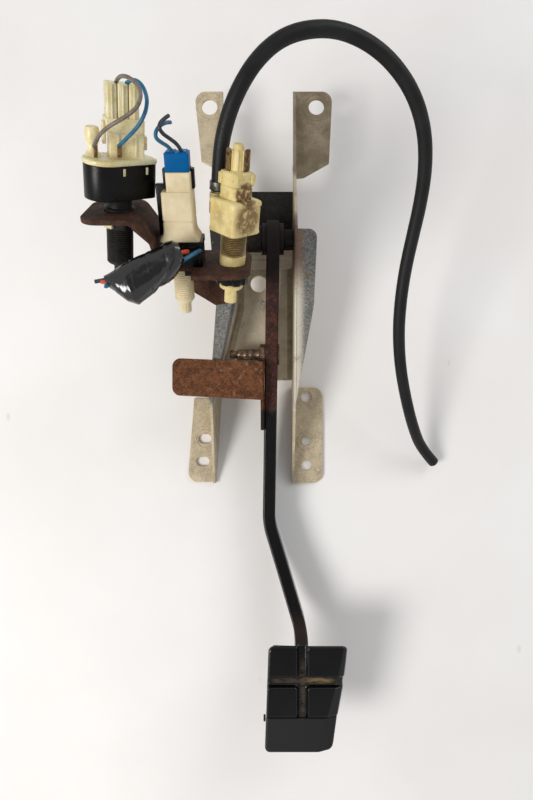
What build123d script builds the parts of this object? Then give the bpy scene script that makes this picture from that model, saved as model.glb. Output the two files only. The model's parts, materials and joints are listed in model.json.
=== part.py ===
from build123d import *
import math
import os

os.makedirs("parts", exist_ok=True)

# Hanging brake pedal in its mounting bracket, lying on its mounting face.
# +Z stands off the mounting face, +Y runs from the pad towards the pivot.
# The origin is the centre of the locating hole in the right lower ear, on the mounting face.

# ------------------------------------------------------------ driving dimensions, millimetres
SHEET = 2.5  # thickness of the bracket pressings
BEND_R = 2.4  # outside radius of their bends
WALL_X = -14.0  # inner face of the right side plate
LEAN = 0.10  # how far the left side plate leans out for each millimetre of height
WEB_TOP = 20.0  # height of the web between the side plates
EAR_TOP = 34.5  # height of the upper ears' face
EAR_HOLE_R = 4.85
LOCATING_HOLE_R = 4.25
UPPER_HOLE_R = 6.75
EDGE_LOW = (38.0, 43.5)  # (y, z) where the wings end
EDGE_HIGH = (180.0, 67.0)  # (y, z) where the wings begin

PIVOT_Y = 173.4
PIVOT_Z = 52.0
BOLT_R = 5.0
SLEEVE_R = 6.0
BUSH_R = 8.0
BUSH_FLANGE_R = 13.0
BUSH_FLANGE = 3.6
SPACER_R = 11.0
RUNNING = 0.05  # radial clearance of the moving fits

ARM = 11.0  # thickness of the pedal arm
ARM_HUB_R = 15.5
HUB_X = (-37.2, -26.2)  # the arm's two faces at the pivot
ROD_PIN_Y = 77.4
ROD_PIN_Z = 35.0
ROD_PIN_R = 4.75
FLAG_Z = 49.5
FLAG_T = 3.0

PAD_TOP = 68.0
PAD_BASE = 52.0
PLATE_T = 3.5
GROOVE = 5.2
GROOVE_DEPTH = 4.0

SWITCH_TILT = 33.0  # the switches point up from the mounting face by this many degrees
TAB_T = 3.0
TAB_Y = 128.0  # centre of the lower switch tab's upper face
TAB_Z = 161.0
TAB_STEP = 34.0  # the upper switch tab stands this much further along the switch axis
VALVE_X = -59.3
VALVE_LEAN = 0.085
VALVE_R = 8.35
VALVE_PLUNGER_R = 4.5
SWITCH_X = -92.0
SWITCH_R = 6.5
SWITCH_PLUNGER_R = 3.85
OUTER_X = -128.3
OUTER_LEAN = 0.12
OUTER_R = 8.4
OUTER_PLUNGER_R = 4.0
OUTER_TURN = 46.0  # the outer switch's body is turned about its axis by this many degrees
TRAVEL = 5.0  # how far each plunger can be pressed in

HOSE_R = 4.75
HOSE_BORE_R = 2.75
WIRE_R = 1.1

HOSE_ROUTE = [
    (-67.2, 169.6, 175.5),
    (-65.9, 182.2, 183.7),
    (-63.7, 194.5, 191.9),
    (-58.5, 208.5, 200.0),
    (-50.5, 222.0, 206.5),
    (-41.0, 234.0, 209.5),
    (-28.5, 244.5, 209.6),
    (-13.5, 251.2, 206.8),
    (4.0, 254.2, 202.3),
    (22.5, 250.8, 196.4),
    (39.5, 242.5, 189.0),
    (55.0, 229.5, 178.0),
    (65.5, 213.5, 164.0),
    (70.5, 196.0, 148.5),
    (71.5, 178.0, 132.5),
    (70.0, 159.0, 117.0),
    (67.8, 138.0, 103.0),
    (67.0, 115.0, 90.0),
    (68.5, 91.0, 76.0),
    (73.5, 65.0, 61.0),
    (82.0, 38.0, 45.5),
    (92.0, 13.0, 30.5),
    (103.0, -6.0, 16.0),
    (116.5, -19.0, 6.5),
]
GREY_ROUTE = [
    (-121.0, 214.5, 217.0),
    (-117.5, 214.5, 225.0),
    (-109.5, 210.0, 231.0),
    (-103.0, 202.0, 233.0),
    (-105.0, 194.0, 231.5),
    (-113.0, 189.5, 229.0),
    (-122.5, 186.5, 225.5),
    (-131.0, 184.0, 218.5),
    (-135.3, 182.5, 209.5),
]
BLUE_ROUTE = [
    (-115.0, 214.5, 217.0),
    (-110.0, 214.0, 223.0),
    (-103.5, 208.0, 226.5),
    (-101.0, 198.5, 226.0),
    (-105.5, 189.5, 223.0),
    (-113.8, 185.4, 215.8),
    (-122.1, 184.3, 205.8),
]
PLUG_BLUE_ROUTE = [
    (-91.9, 183.0, 201.0),
    (-93.6, 184.4, 205.0),
    (-96.8, 184.8, 209.0),
    (-99.8, 186.0, 212.5),
    (-99.2, 189.6, 214.0),
    (-96.8, 193.6, 212.0),
    (-94.0, 197.6, 207.0),
    (-93.0, 199.6, 202.5),
]
PLUG_DARK_ROUTE = [
    (-86.5, 183.0, 201.0),
    (-87.8, 184.8, 206.0),
    (-91.4, 186.0, 211.0),
    (-95.6, 187.4, 215.2),
    (-97.0, 190.2, 217.8),
    (-95.2, 194.2, 216.6),
    (-92.4, 198.6, 212.4),
]


def save(piece, name):
    """Names a finished piece and writes it."""
    piece.part.label = name
    export_step(piece.part, f"parts/{name}.step")


def corner_radii(points):
    """Each corner's arc: 0.45 of its shorter run over the tangent of half its turn."""
    radii = []
    for before, at, after in zip(points, points[1:], points[2:]):
        arriving = Vector(*at) - Vector(*before)
        leaving = Vector(*after) - Vector(*at)
        half_turn = math.radians(arriving.get_angle(leaving)) / 2
        radii.append(0.45 * min(arriving.length, leaving.length) / math.tan(half_turn))
    return radii


def cord(name, points, outer_r, bore_r=0.0):
    """A cord's solid: straight runs joined by tangent arcs."""
    radii = corner_radii(points)
    start = Vector(*points[0])
    with BuildPart() as piece:
        with BuildLine() as route:
            FilletPolyline(*points, radius=radii)
        with BuildSketch(Plane(origin=start, z_dir=Vector(*points[1]) - start)):
            Circle(outer_r)
            if bore_r:
                Circle(bore_r, mode=Mode.SUBTRACT)
        sweep(path=route.line)
    length = sum(edge.length for edge in route.edges())
    section = math.pi * (outer_r**2 - bore_r**2)
    print(name, "length", round(length, 1), "smallest radius", round(min(radii), 1))
    print(name, "radii", [round(radius) for radius in radii])
    print(name, "volume over section times length", round(piece.part.volume / section / length, 4))
    save(piece, name)


# ------------------------------------------------------------ bracket pressings
SIDE_OUTLINE = [
    (-39.0, 0.0),
    (49.6, 0.0),
    (55.6, WEB_TOP - SHEET),
    (156.0, WEB_TOP - SHEET),
    (231.0, EAR_TOP - SHEET),
    (307.0, EAR_TOP - SHEET),
    (307.0, EAR_TOP),
    (298.0, 38.0),
    (231.0, 45.0),
    (192.0, 63.0),
    EDGE_HIGH,
    EDGE_LOW,
    (-36.0, 5.0),
    (-39.0, 4.0),
]
LEFT_WALL = [
    (-83.8, -39.0),
    (-78.7, 38.0),
    (-59.8, 118.0),
    (-58.0, 138.0),
    (-61.0, 178.0),
    (-70.5, 231.0),
    (-71.5, 307.0),
]
WING_RISE = math.atan2(EDGE_HIGH[1] - EDGE_LOW[1], EDGE_HIGH[0] - EDGE_LOW[0])
WING_PLANE = Plane(
    origin=(0, EDGE_LOW[0], EDGE_LOW[1]),
    x_dir=(1, 0, 0),
    z_dir=(0, -math.sin(WING_RISE), math.cos(WING_RISE)),
)


def on_wing(points):
    """Plan points (x, y) as points of the sloping wing plane."""
    return [(x, (y - EDGE_LOW[0]) / math.cos(WING_RISE)) for x, y in points]


def left_x(y, z):
    """The left side plate's inner face at a given place."""
    for (x_a, y_a), (x_b, y_b) in zip(LEFT_WALL, LEFT_WALL[1:]):
        if y <= y_b:
            return x_a + (x_b - x_a) * (y - y_a) / (y_b - y_a) - LEAN * z


with BuildPart() as right_side_plate:
    with BuildSketch(Plane.YZ.offset(WALL_X)):
        Polygon(*SIDE_OUTLINE, align=None)
    extrude(amount=SHEET)
    # lower ear, on the mounting face
    with BuildSketch(Plane.XY) as lower_ear:
        with BuildLine():
            Polyline((WALL_X, 49.6), (15.0, 49.6), (15.0, -39.0), (WALL_X, -39.0), close=True)
        make_face()
        fillet(lower_ear.vertices().group_by(Axis.X)[-1], radius=9)
        with Locations((0.0, 41.0), (0.0, -22.6)):
            Circle(EAR_HOLE_R, mode=Mode.SUBTRACT)
        Circle(LOCATING_HOLE_R, mode=Mode.SUBTRACT)
    extrude(amount=SHEET)
    # upper ear
    with BuildSketch(Plane.XY.offset(EAR_TOP - SHEET)) as upper_ear:
        with BuildLine():
            Polyline(
                (WALL_X, 307.0),
                (20.5, 307.0),
                (17.5, 244.4),
                (-4.4, 232.0),
                (WALL_X, 231.0),
                close=True,
            )
        make_face()
        fillet(upper_ear.vertices().group_by(Axis.X)[-1], radius=9)
        with Locations((6.5, 293.5)):
            Circle(UPPER_HOLE_R, mode=Mode.SUBTRACT)
    extrude(amount=SHEET)
    # tapered wing along the upper edge
    with BuildSketch(WING_PLANE) as wing:
        with BuildLine():
            Polyline(
                *on_wing(
                    [
                        (WALL_X, 38.0),
                        (-11.0, 38.0),
                        (-9.0, 51.6),
                        (1.0, 107.5),
                        (2.6, 118.0),
                        (4.6, 178.0),
                        (WALL_X, 178.0),
                    ]
                ),
                close=True,
            )
        make_face()
        fillet(wing.vertices().group_by(Axis.X)[-1], radius=7)
    extrude(amount=-SHEET)
    with BuildSketch(Plane.YZ.offset(WALL_X)):
        with Locations((PIVOT_Y, PIVOT_Z)):
            Circle(BOLT_R + 0.1)
    extrude(amount=SHEET, mode=Mode.SUBTRACT)
    # outside of each bend: the wing's, the lower ear's and the upper ear's
    for point in [(WALL_X, 108.0, 55.1), (WALL_X, 5.0, 0.0), (WALL_X, 270.0, EAR_TOP - SHEET)]:
        fillet(right_side_plate.edges().sort_by_distance(point)[0], radius=BEND_R)
save(right_side_plate, "right_side_plate")

LEFT_BACK = [(x - SHEET, y) for x, y in reversed(LEFT_WALL)]
with BuildPart() as left_side_plate:
    with BuildSketch(Plane.XY):
        with BuildLine():
            Polyline(*LEFT_WALL, *LEFT_BACK, close=True)
        make_face()
    extrude(amount=75.0, dir=(-LEAN, 0, 1))
    with BuildSketch(Plane.YZ.offset(-150.0)):
        Polygon(*SIDE_OUTLINE, align=None)
    extrude(amount=120.0, mode=Mode.INTERSECT)
    with BuildSketch(Plane.XY) as left_lower_ear:
        with BuildLine():
            Polyline((-81.0, 39.5), (-104.0, 39.5), (-110.0, -38.0), (-85.0, -38.0), close=True)
        make_face()
        fillet(left_lower_ear.vertices().group_by(Axis.X)[0], radius=9)
        with Locations((-94.0, 2.0), (-96.0, -19.0)):
            SlotOverall(12.0, 8.6, mode=Mode.SUBTRACT)
    extrude(amount=SHEET)
    with BuildSketch(Plane.XY.offset(EAR_TOP - SHEET)) as left_upper_ear:
        with BuildLine():
            Polyline(
                (-76.0, 307.0),
                (-100.0, 307.0),
                (-93.6, 246.0),
                (-83.6, 241.0),
                (-75.0, 236.0),
                close=True,
            )
        make_face()
        fillet(left_upper_ear.vertices().group_by(Axis.X)[0], radius=9)
        with Locations((-86.6, 293.5)):
            Circle(UPPER_HOLE_R, mode=Mode.SUBTRACT)
    extrude(amount=SHEET)
    with BuildSketch(WING_PLANE) as left_wing:
        with BuildLine():
            Polyline(
                *on_wing(
                    [
                        (left_x(38.0, 43.5), 38.0),
                        (-86.5, 38.0),
                        (-83.0, 72.0),
                        (-80.5, 101.0),
                        (-79.0, 118.0),
                        (-83.5, 178.0),
                        (left_x(178.0, 66.7), 178.0),
                        (left_x(138.0, 60.0), 138.0),
                        (left_x(118.0, 56.7), 118.0),
                    ]
                ),
                close=True,
            )
        make_face()
        fillet(left_wing.vertices().sort_by(Axis.Y)[-1], radius=1)
    extrude(amount=-SHEET)
    with BuildSketch(Plane.YZ.offset(-90.0)):
        with Locations((PIVOT_Y, PIVOT_Z)):
            Circle(BOLT_R + 0.1)
    extrude(amount=60.0, mode=Mode.SUBTRACT)
save(left_side_plate, "left_side_plate")


def beyond_left_wall():
    """Everything on the far side of the left side plate's inner face."""
    with BuildPart() as beyond:
        with BuildSketch(Plane.XY):
            with BuildLine():
                Polyline(*LEFT_WALL, (-150.0, 307.0), (-150.0, -39.0), close=True)
            make_face()
        extrude(amount=90.0, dir=(-LEAN, 0, 1))
    return beyond.part


BEYOND = beyond_left_wall()

WEB_SECTION = [
    (55.6, WEB_TOP - SHEET),
    (156.0, WEB_TOP - SHEET),
    (163.0, 23.5),
    (162.0, 26.0),
    (155.0, WEB_TOP),
    (55.6, WEB_TOP),
]
with BuildPart() as web_plate:
    with BuildSketch(Plane.YZ.offset(-100.0)):
        Polygon(*WEB_SECTION, align=None)
    extrude(amount=100.0 + WALL_X)
    with BuildSketch(Plane.XY.offset(WEB_TOP - SHEET)):
        with Locations((-44.0, 142.0)):
            Circle(7.2)
    extrude(amount=SHEET, mode=Mode.SUBTRACT)
    add(BEYOND, mode=Mode.SUBTRACT)
save(web_plate, "web_plate")

CROSS_SECTION = [(164.0, 27.0), (220.0, 33.5), (220.0, 31.0), (164.3, 24.5)]
with BuildPart() as cross_plate:
    with BuildSketch(Plane.YZ.offset(-100.0)):
        Polygon(*CROSS_SECTION, align=None)
    extrude(amount=100.0 + WALL_X)
    add(BEYOND, mode=Mode.SUBTRACT)
save(cross_plate, "cross_plate")


# ------------------------------------------------------------ pivot
def turned(name, x_from, x_to, outer_r, bore_r):
    """A plain ring or tube on the pivot axis."""
    with BuildPart() as piece:
        with BuildSketch(Plane.YZ.offset(x_from)):
            with Locations((PIVOT_Y, PIVOT_Z)):
                Circle(outer_r)
                Circle(bore_r, mode=Mode.SUBTRACT)
        extrude(amount=x_to - x_from)
    save(piece, name)


BOLT_HEAD_X = WALL_X + SHEET
NUT_X = -70.2
with BuildPart() as pivot_bolt:
    with BuildSketch(Plane.YZ.offset(-80.0)):
        with Locations((PIVOT_Y, PIVOT_Z)):
            Circle(BOLT_R)
    extrude(amount=80.0 + BOLT_HEAD_X)
    with BuildSketch(Plane.YZ.offset(BOLT_HEAD_X)):
        with Locations((PIVOT_Y, PIVOT_Z)):
            RegularPolygon(9.0, 6)
    extrude(amount=6.5)
save(pivot_bolt, "pivot_bolt")

with BuildPart() as pivot_nut:
    with BuildSketch(Plane.YZ.offset(NUT_X - 8.0)):
        with Locations((PIVOT_Y, PIVOT_Z)):
            RegularPolygon(9.0, 6)
            Circle(BOLT_R, mode=Mode.SUBTRACT)
    extrude(amount=8.0)
save(pivot_nut, "pivot_nut")

FLANGE_X = (HUB_X[0] - BUSH_FLANGE, HUB_X[1] + BUSH_FLANGE)
turned("pivot_sleeve", FLANGE_X[0], FLANGE_X[1], SLEEVE_R, BOLT_R)
turned("spacer_tube", left_x(PIVOT_Y, PIVOT_Z + SPACER_R) + 2.5, FLANGE_X[0] - 0.3, SPACER_R, BOLT_R)
turned("spacer_ring", FLANGE_X[1] + 0.3, WALL_X, 8.0, BOLT_R)


def bush(name, flange_from, flange_to, barrel_to):
    """A flanged bush: the flange against the arm's face, the barrel half way into it."""
    with BuildPart() as piece:
        with BuildSketch(Plane.YZ.offset(flange_from)):
            with Locations((PIVOT_Y, PIVOT_Z)):
                Circle(BUSH_FLANGE_R)
        extrude(amount=flange_to - flange_from)
        with BuildSketch(Plane.YZ.offset(flange_to)):
            with Locations((PIVOT_Y, PIVOT_Z)):
                Circle(BUSH_R)
        extrude(amount=barrel_to - flange_to)
        with BuildSketch(Plane.YZ.offset(-60.0)):
            with Locations((PIVOT_Y, PIVOT_Z)):
                Circle(SLEEVE_R + RUNNING)
        extrude(amount=60.0, mode=Mode.SUBTRACT)
    save(piece, name)


HUB_MIDDLE = (HUB_X[0] + HUB_X[1]) / 2
bush("pivot_bush_left", FLANGE_X[0], HUB_X[0], HUB_MIDDLE - 0.1)
bush("pivot_bush_right", FLANGE_X[1], HUB_X[1], HUB_MIDDLE + 0.1)

# ------------------------------------------------------------ pedal
ARM_LINE = [(-31.7, 190.0), (-31.7, 155.0), (-34.9, -70.5), (-7.2, -160.6), (-6.6, -205.0)]
NEAR_EDGE = [(173.4, 67.5), (160.0, 65.5), (122.0, 52.0), (72.0, 45.0), (-5.0, 36.0), (-62.0, 32.0)]
NEAR_END = [(-105.0, 33.5), (-155.0, 42.0), (-172.0, 50.0), (-176.0, PAD_BASE), (-202.0, PAD_BASE)]
FAR_END = [(-204.0, 44.0), (-175.0, 28.0), (-150.0, 17.0), (-105.0, 9.0), (-62.0, 7.0)]
FAR_EDGE = [(-5.0, 12.0), (50.0, 20.0), (55.6, WEB_TOP + 0.35), (122.0, 29.5), (164.0, 38.5)]
with BuildPart() as pedal_arm:
    with BuildSketch(Plane.XY):
        with BuildLine() as arm_line:
            FilletPolyline(*ARM_LINE, radius=55)
        trace(line_width=ARM)
    extrude(amount=90.0)
    with BuildSketch(Plane.YZ.offset(-80.0)) as arm_side:
        with BuildLine():
            Polyline(*NEAR_EDGE, *NEAR_END, *FAR_END, *FAR_EDGE, close=True)
        make_face()
        with Locations((PIVOT_Y, PIVOT_Z)):
            Circle(ARM_HUB_R)
    extrude(amount=120.0, mode=Mode.INTERSECT)
    with BuildSketch(Plane.YZ.offset(-80.0)):
        with Locations((PIVOT_Y, PIVOT_Z)):
            Circle(BUSH_R)
        with Locations((ROD_PIN_Y, ROD_PIN_Z)):
            Circle(ROD_PIN_R)
    extrude(amount=120.0, mode=Mode.SUBTRACT)
save(pedal_arm, "pedal_arm")

PIN_FACE = -38.3  # the arm's left face at the push-rod pin
with BuildPart() as pushrod_pin:
    for x_from, x_to, radius in [
        (-68.8, -64.6, 4.1),
        (-64.6, -63.0, 3.2),
        (-63.0, -42.6, ROD_PIN_R),
        (-42.6, PIN_FACE, 9.2),
        (PIN_FACE, -27.2, ROD_PIN_R),
        (-27.2, -26.0, 9.2),
    ]:
        with BuildSketch(Plane.YZ.offset(x_from)):
            with Locations((ROD_PIN_Y, ROD_PIN_Z)):
                Circle(radius)
        extrude(amount=x_to - x_from)
save(pushrod_pin, "pushrod_pin")

with BuildPart() as pedal_flag:
    with BuildSketch(Plane.XY.offset(FLAG_Z)) as flag_face:
        with BuildLine():
            Polyline((-116.3, 42.0), (-116.3, 73.4), (-40.0, 70.3), (-40.0, 38.0), close=True)
        make_face()
        fillet(flag_face.vertices().group_by(Axis.X)[0], radius=7)
    extrude(amount=FLAG_T)
    # the flag's root, bent down beside the arm and welded to it
    with BuildSketch(Plane.YZ.offset(-42.0)):
        Polygon((12.0, 37.0), (12.0, 40.5), (38.0, 49.5), (70.0, 49.5), (70.0, 42.0), (38.0, 38.0), align=None)
    extrude(amount=3.2)
save(pedal_flag, "pedal_flag")

PAD_OUTLINE = [(-38.2, -248.0), (14.5, -249.5), (17.1, -246.0), (25.5, -199.0), (29.3, -165.5), (-35.4, -163.0)]
with BuildPart() as pad_plate:
    with BuildSketch(Plane.XY.offset(PAD_BASE)):
        Polygon((-31.5, -168.0), (24.5, -170.0), (13.0, -244.5), (-34.0, -243.5), align=None)
    extrude(amount=PLATE_T)
save(pad_plate, "pad_plate")

with BuildPart() as pedal_pad:
    with BuildSketch(Plane.XY.offset(PAD_BASE + 0.5)) as pad_face:
        with BuildLine():
            Polyline(*PAD_OUTLINE, close=True)
        make_face()
        fillet(pad_face.vertices().group_by(Axis.X)[0], radius=2)
    extrude(amount=PAD_TOP - PAD_BASE - 0.5, taper=8)
    add(pad_plate.part, mode=Mode.SUBTRACT)
    # the crossed grooves that part the tread into blocks, and the lower panel
    with BuildSketch(Plane.XY.offset(PAD_TOP - GROOVE_DEPTH)):
        with Locations((-7.6, -190.0)):
            Rectangle(GROOVE, 64.0)
        with Locations((-5.0, -192.0)):
            Rectangle(90.0, GROOVE + 0.8)
        with Locations((-5.0, -236.0)):
            Rectangle(46.0, 20.0)
    extrude(amount=GROOVE_DEPTH, mode=Mode.SUBTRACT)
save(pedal_pad, "pedal_pad")

# ------------------------------------------------------------ switch bracket
AXIS = Vector(0, math.cos(math.radians(SWITCH_TILT)), math.sin(math.radians(SWITCH_TILT)))
TAB = Plane(origin=(0, TAB_Y, TAB_Z), x_dir=(1, 0, 0), z_dir=AXIS)
UPPER_TAB_POINT = Vector(0, TAB_Y, TAB_Z) + AXIS * TAB_STEP
VALVE = Plane(
    origin=(VALVE_X, TAB_Y, TAB_Z), x_dir=(1, 0, 0), z_dir=AXIS + Vector(VALVE_LEAN, 0, 0)
)
SWITCH = Plane(origin=(SWITCH_X, TAB_Y, TAB_Z), x_dir=(1, 0, 0), z_dir=AXIS)
OUTER = Plane(
    origin=(OUTER_X, UPPER_TAB_POINT.Y, UPPER_TAB_POINT.Z),
    x_dir=(1, 0, 0),
    z_dir=AXIS + Vector(OUTER_LEAN, 0, 0),
)
# Edge view of the bracket's sheet: x across, and height along the switch axis.
EDGE_VIEW = Plane(origin=(0, TAB_Y, TAB_Z), x_dir=(1, 0, 0), z_dir=-TAB.y_dir)

LUG_X = -63.2  # the lug stands against the left side plate's inner face
ACROSS = Plane(origin=(-130.0, TAB_Y, TAB_Z), x_dir=AXIS, z_dir=(1, 0, 0))

with BuildPart() as switch_bracket:
    with BuildSketch(EDGE_VIEW.offset(-25.0)):
        with BuildLine():
            FilletPolyline(
                (-150.0, TAB_STEP - TAB_T / 2),
                (-117.0, TAB_STEP - TAB_T / 2),
                (-107.5, 18.0),
                (-107.5, -TAB_T / 2),
                (-47.0, -TAB_T / 2),
                radius=6,
            )
        trace(line_width=TAB_T)
    extrude(amount=50.0)
    # the stepped strip is narrower than the tabs it joins
    with BuildSketch(ACROSS):
        Polygon((-10.0, 9.0), (6.0, 9.0), (29.0, 26.0), (-10.0, 26.0), align=None)
    extrude(amount=46.0, mode=Mode.SUBTRACT)
    with BuildSketch(TAB.offset(-10.0)):
        with Locations((-98.0, 0.0)):
            RectangleRounded(102.0, 50.0, 12.0)
    extrude(amount=60.0, mode=Mode.INTERSECT)
    # leg bent back from the tab's far edge
    with BuildSketch(EDGE_VIEW.offset(-25.0)):
        Polygon(
            (LUG_X + TAB_T, -1.0),
            (LUG_X + TAB_T, -38.0),
            (-74.0, -40.0),
            (-89.0, -30.0),
            (-89.0, -1.0),
            align=None,
        )
    extrude(amount=TAB_T)
    # lug that carries the bracket down to the left side plate
    with BuildSketch(Plane.YZ.offset(LUG_X)):
        Polygon((141.5, 141.5), (108.6, 118.4), (132.0, 52.5), (160.0, 52.5), align=None)
    extrude(amount=TAB_T)
    for plane, radius in [(VALVE, VALVE_R), (SWITCH, SWITCH_R), (OUTER, OUTER_R)]:
        with BuildSketch(plane.offset(-6.0)):
            Circle(radius + 0.6)
        extrude(amount=12.0, mode=Mode.SUBTRACT)
save(switch_bracket, "switch_bracket")

with BuildPart() as bracket_rivets:
    with BuildSketch(Plane.YZ.offset(-71.0)):
        with Locations((140.0, 57.0), (155.0, 57.0)):
            Circle(3.0)
    extrude(amount=12.2)
    with BuildSketch(Plane.YZ.offset(-61.0)):
        with Locations((140.0, 57.0), (155.0, 57.0)):
            Circle(5.0)
    extrude(amount=2.2)
save(bracket_rivets, "bracket_rivets")


# ------------------------------------------------------------ pieces turned about a switch axis
def stack(name, plane, layers, bore_r=0.0, bore_to=0.0):
    """Round layers (from, to, radius) along a switch axis, with a blind bore from the first."""
    with BuildPart() as piece:
        for low, high, radius in layers:
            with BuildSketch(plane.offset(low)):
                Circle(radius)
            extrude(amount=high - low)
        if bore_r:
            with BuildSketch(plane.offset(layers[0][0])):
                Circle(bore_r)
            extrude(amount=bore_to - layers[0][0], mode=Mode.SUBTRACT)
    save(piece, name)


def block(name, plane, layers, turn=0.0):
    """Rounded blocks (from, to, width, depth, corner radius, x, y) along a switch axis."""
    with BuildPart() as piece:
        for low, high, width, depth, corner, x, y in layers:
            with BuildSketch(plane.offset(low)):
                with Locations((x, y)):
                    RectangleRounded(width, depth, corner, rotation=turn)
            extrude(amount=high - low)
    save(piece, name)


def spring(name, plane, low, high, radius, turns=4):
    """A return spring, drawn at its pressed-in length so that it is clear over the travel."""
    with BuildPart() as piece:
        with BuildLine() as coil:
            Helix(pitch=(high - low) / turns, height=high - low, radius=radius)
        with BuildSketch(Plane(origin=coil.line @ 0, z_dir=coil.line % 0)):
            Circle(0.45)
        sweep(path=coil.line, is_frenet=True)
    piece.part.label = name
    export_step(plane.offset(low).location * piece.part, f"parts/{name}.step")


# ------------------------------------------------------------ vacuum release valve
stack("valve_barrel", VALVE, [(-14.0, 20.0, VALVE_R)], VALVE_PLUNGER_R + RUNNING, 14.0)
stack("valve_plunger", VALVE, [(-27.5, -5.0, VALVE_PLUNGER_R)])
spring("valve_spring", VALVE, 1.0, 12.5, 3.2)
stack("valve_retainer", VALVE, [(-13.0, -TAB_T - 1.2, 11.0)], VALVE_R, 0.0)

BLOCK_SIDE = 24.0
PORT = (-11.5, 10.5)  # the hose port, behind the block's left shoulder
with BuildPart() as valve_block:
    with BuildSketch(VALVE.offset(20.0)):
        RectangleRounded(BLOCK_SIDE, BLOCK_SIDE, 1.5, rotation=45)
    extrude(amount=21.0)
    with BuildSketch(VALVE.offset(28.0)):
        with Locations(PORT):
            Circle(5.5)
    extrude(amount=13.0)
    with BuildSketch(VALVE.offset(41.0)):
        with Locations(PORT):
            Circle(HOSE_BORE_R)
    extrude(amount=12.0)
    with BuildSketch(VALVE.offset(41.0)):
        RectangleRounded(14.5, 14.5, 1.0, rotation=45)
    extrude(amount=7.5)
save(valve_block, "valve_block")
with BuildPart() as valve_collar:
    with BuildSketch(VALVE.offset(48.5)):
        RectangleRounded(16.0, 16.0, 2.0, rotation=45)
    extrude(amount=8.5)
save(valve_collar, "valve_collar")
with BuildPart() as valve_post:
    with BuildSketch(VALVE.offset(57.0)):
        Circle(3.7)
    extrude(amount=15.5)
save(valve_post, "valve_post")
with BuildPart() as valve_blades:
    with BuildSketch(VALVE.offset(57.0)):
        with Locations((-5.2, 0.0), (5.2, 0.0)):
            Rectangle(0.8, 6.4)
    extrude(amount=13.0)
    with BuildSketch(Plane(origin=VALVE.offset(66.5).origin, x_dir=VALVE.y_dir, z_dir=VALVE.x_dir)):
        Circle(1.0)
    extrude(amount=8.0, both=True, mode=Mode.SUBTRACT)
save(valve_blades, "valve_blades")

cord("vacuum_hose", HOSE_ROUTE, HOSE_R, HOSE_BORE_R)
HOSE_START = Vector(*HOSE_ROUTE[0])
HOSE_EXIT = Plane(origin=HOSE_START, z_dir=Vector(*HOSE_ROUTE[1]) - HOSE_START)
with BuildPart() as hose_clamp:
    with BuildSketch(HOSE_EXIT.offset(0.8)):
        Circle(HOSE_R + 0.9)
        Circle(HOSE_R, mode=Mode.SUBTRACT)
    extrude(amount=5.0)
save(hose_clamp, "hose_clamp")

# ------------------------------------------------------------ brake lamp switch
stack("brake_switch_barrel", SWITCH, [(-27.0, 0.0, SWITCH_R)], SWITCH_PLUNGER_R + RUNNING, -6.0)
stack("brake_switch_plunger", SWITCH, [(-35.0, -19.0, SWITCH_PLUNGER_R)])
spring("brake_switch_spring", SWITCH, -13.4, -6.8, 2.6)
block("brake_switch_socket", SWITCH, [(0.0, 16.0, 20.0, 19.0, 2.0, 4.3, 0.0)])
block(
    "brake_switch_body",
    SWITCH,
    [
        (16.0, 22.5, 24.4, 19.0, 2.0, 1.1, 0.0),
        (22.5, 28.5, 20.2, 18.0, 2.0, 0.6, 0.0),
        (28.5, 46.0, 18.8, 18.0, 2.0, 0.6, 0.0),
    ],
)
block("brake_switch_cover", SWITCH, [(46.0, 57.0, 15.0, 15.0, 1.5, 2.2, 0.0)])
block("brake_switch_plug", SWITCH, [(57.0, 68.0, 14.2, 12.0, 1.5, 2.0, 0.0)])
cord("plug_wire_blue", PLUG_BLUE_ROUTE, WIRE_R)
cord("plug_wire_dark", PLUG_DARK_ROUTE, WIRE_R)

# ------------------------------------------------------------ outer switch
stack("outer_switch_barrel", OUTER, [(-TAB_STEP, 0.0, OUTER_R)], OUTER_PLUNGER_R + RUNNING, -6.0)
stack("outer_switch_plunger", OUTER, [(-42.0, -26.0, OUTER_PLUNGER_R)])
spring("outer_switch_spring", OUTER, -20.4, -6.8, 2.8)
stack("outer_switch_nut", OUTER, [(-10.5, -TAB_T - 1.6, 10.8)], OUTER_R, 0.0)
stack("outer_switch_neck", OUTER, [(0.0, 8.0, 8.0)])
with BuildPart() as outer_switch_body:
    with BuildSketch(OUTER.offset(8.0)):
        with Locations((-1.0, 0.0)):
            SlotOverall(42.0, 24.0, rotation=OUTER_TURN)
    extrude(amount=20.0)
save(outer_switch_body, "outer_switch_body")
with BuildPart() as outer_switch_cover:
    with BuildSketch(OUTER.offset(28.0)):
        with Locations((-1.0, 0.0)):
            SlotOverall(43.0, 25.0, rotation=OUTER_TURN)
    extrude(amount=3.0)
save(outer_switch_cover, "outer_switch_cover")
block(
    "outer_connector",
    OUTER,
    [
        (31.0, 45.0, 20.0, 14.0, 2.0, 3.8, 1.5),
        (45.0, 51.0, 22.0, 15.0, 2.0, 2.6, 1.5),
        (51.0, 70.0, 18.0, 13.0, 2.0, 1.6, 1.5),
    ],
    20.0,
)
with BuildPart() as outer_cap_tube:
    for low, high, radius in [(31.0, 38.5, 3.2), (38.5, 47.0, 4.0)]:
        with BuildSketch(OUTER.offset(low)):
            with Locations((-13.6, -6.2)):
                Circle(radius)
        extrude(amount=high - low)
save(outer_cap_tube, "outer_cap_tube")
cord("loop_wire_grey", GREY_ROUTE, WIRE_R)
cord("loop_wire_blue", BLUE_ROUTE, WIRE_R)

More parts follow.
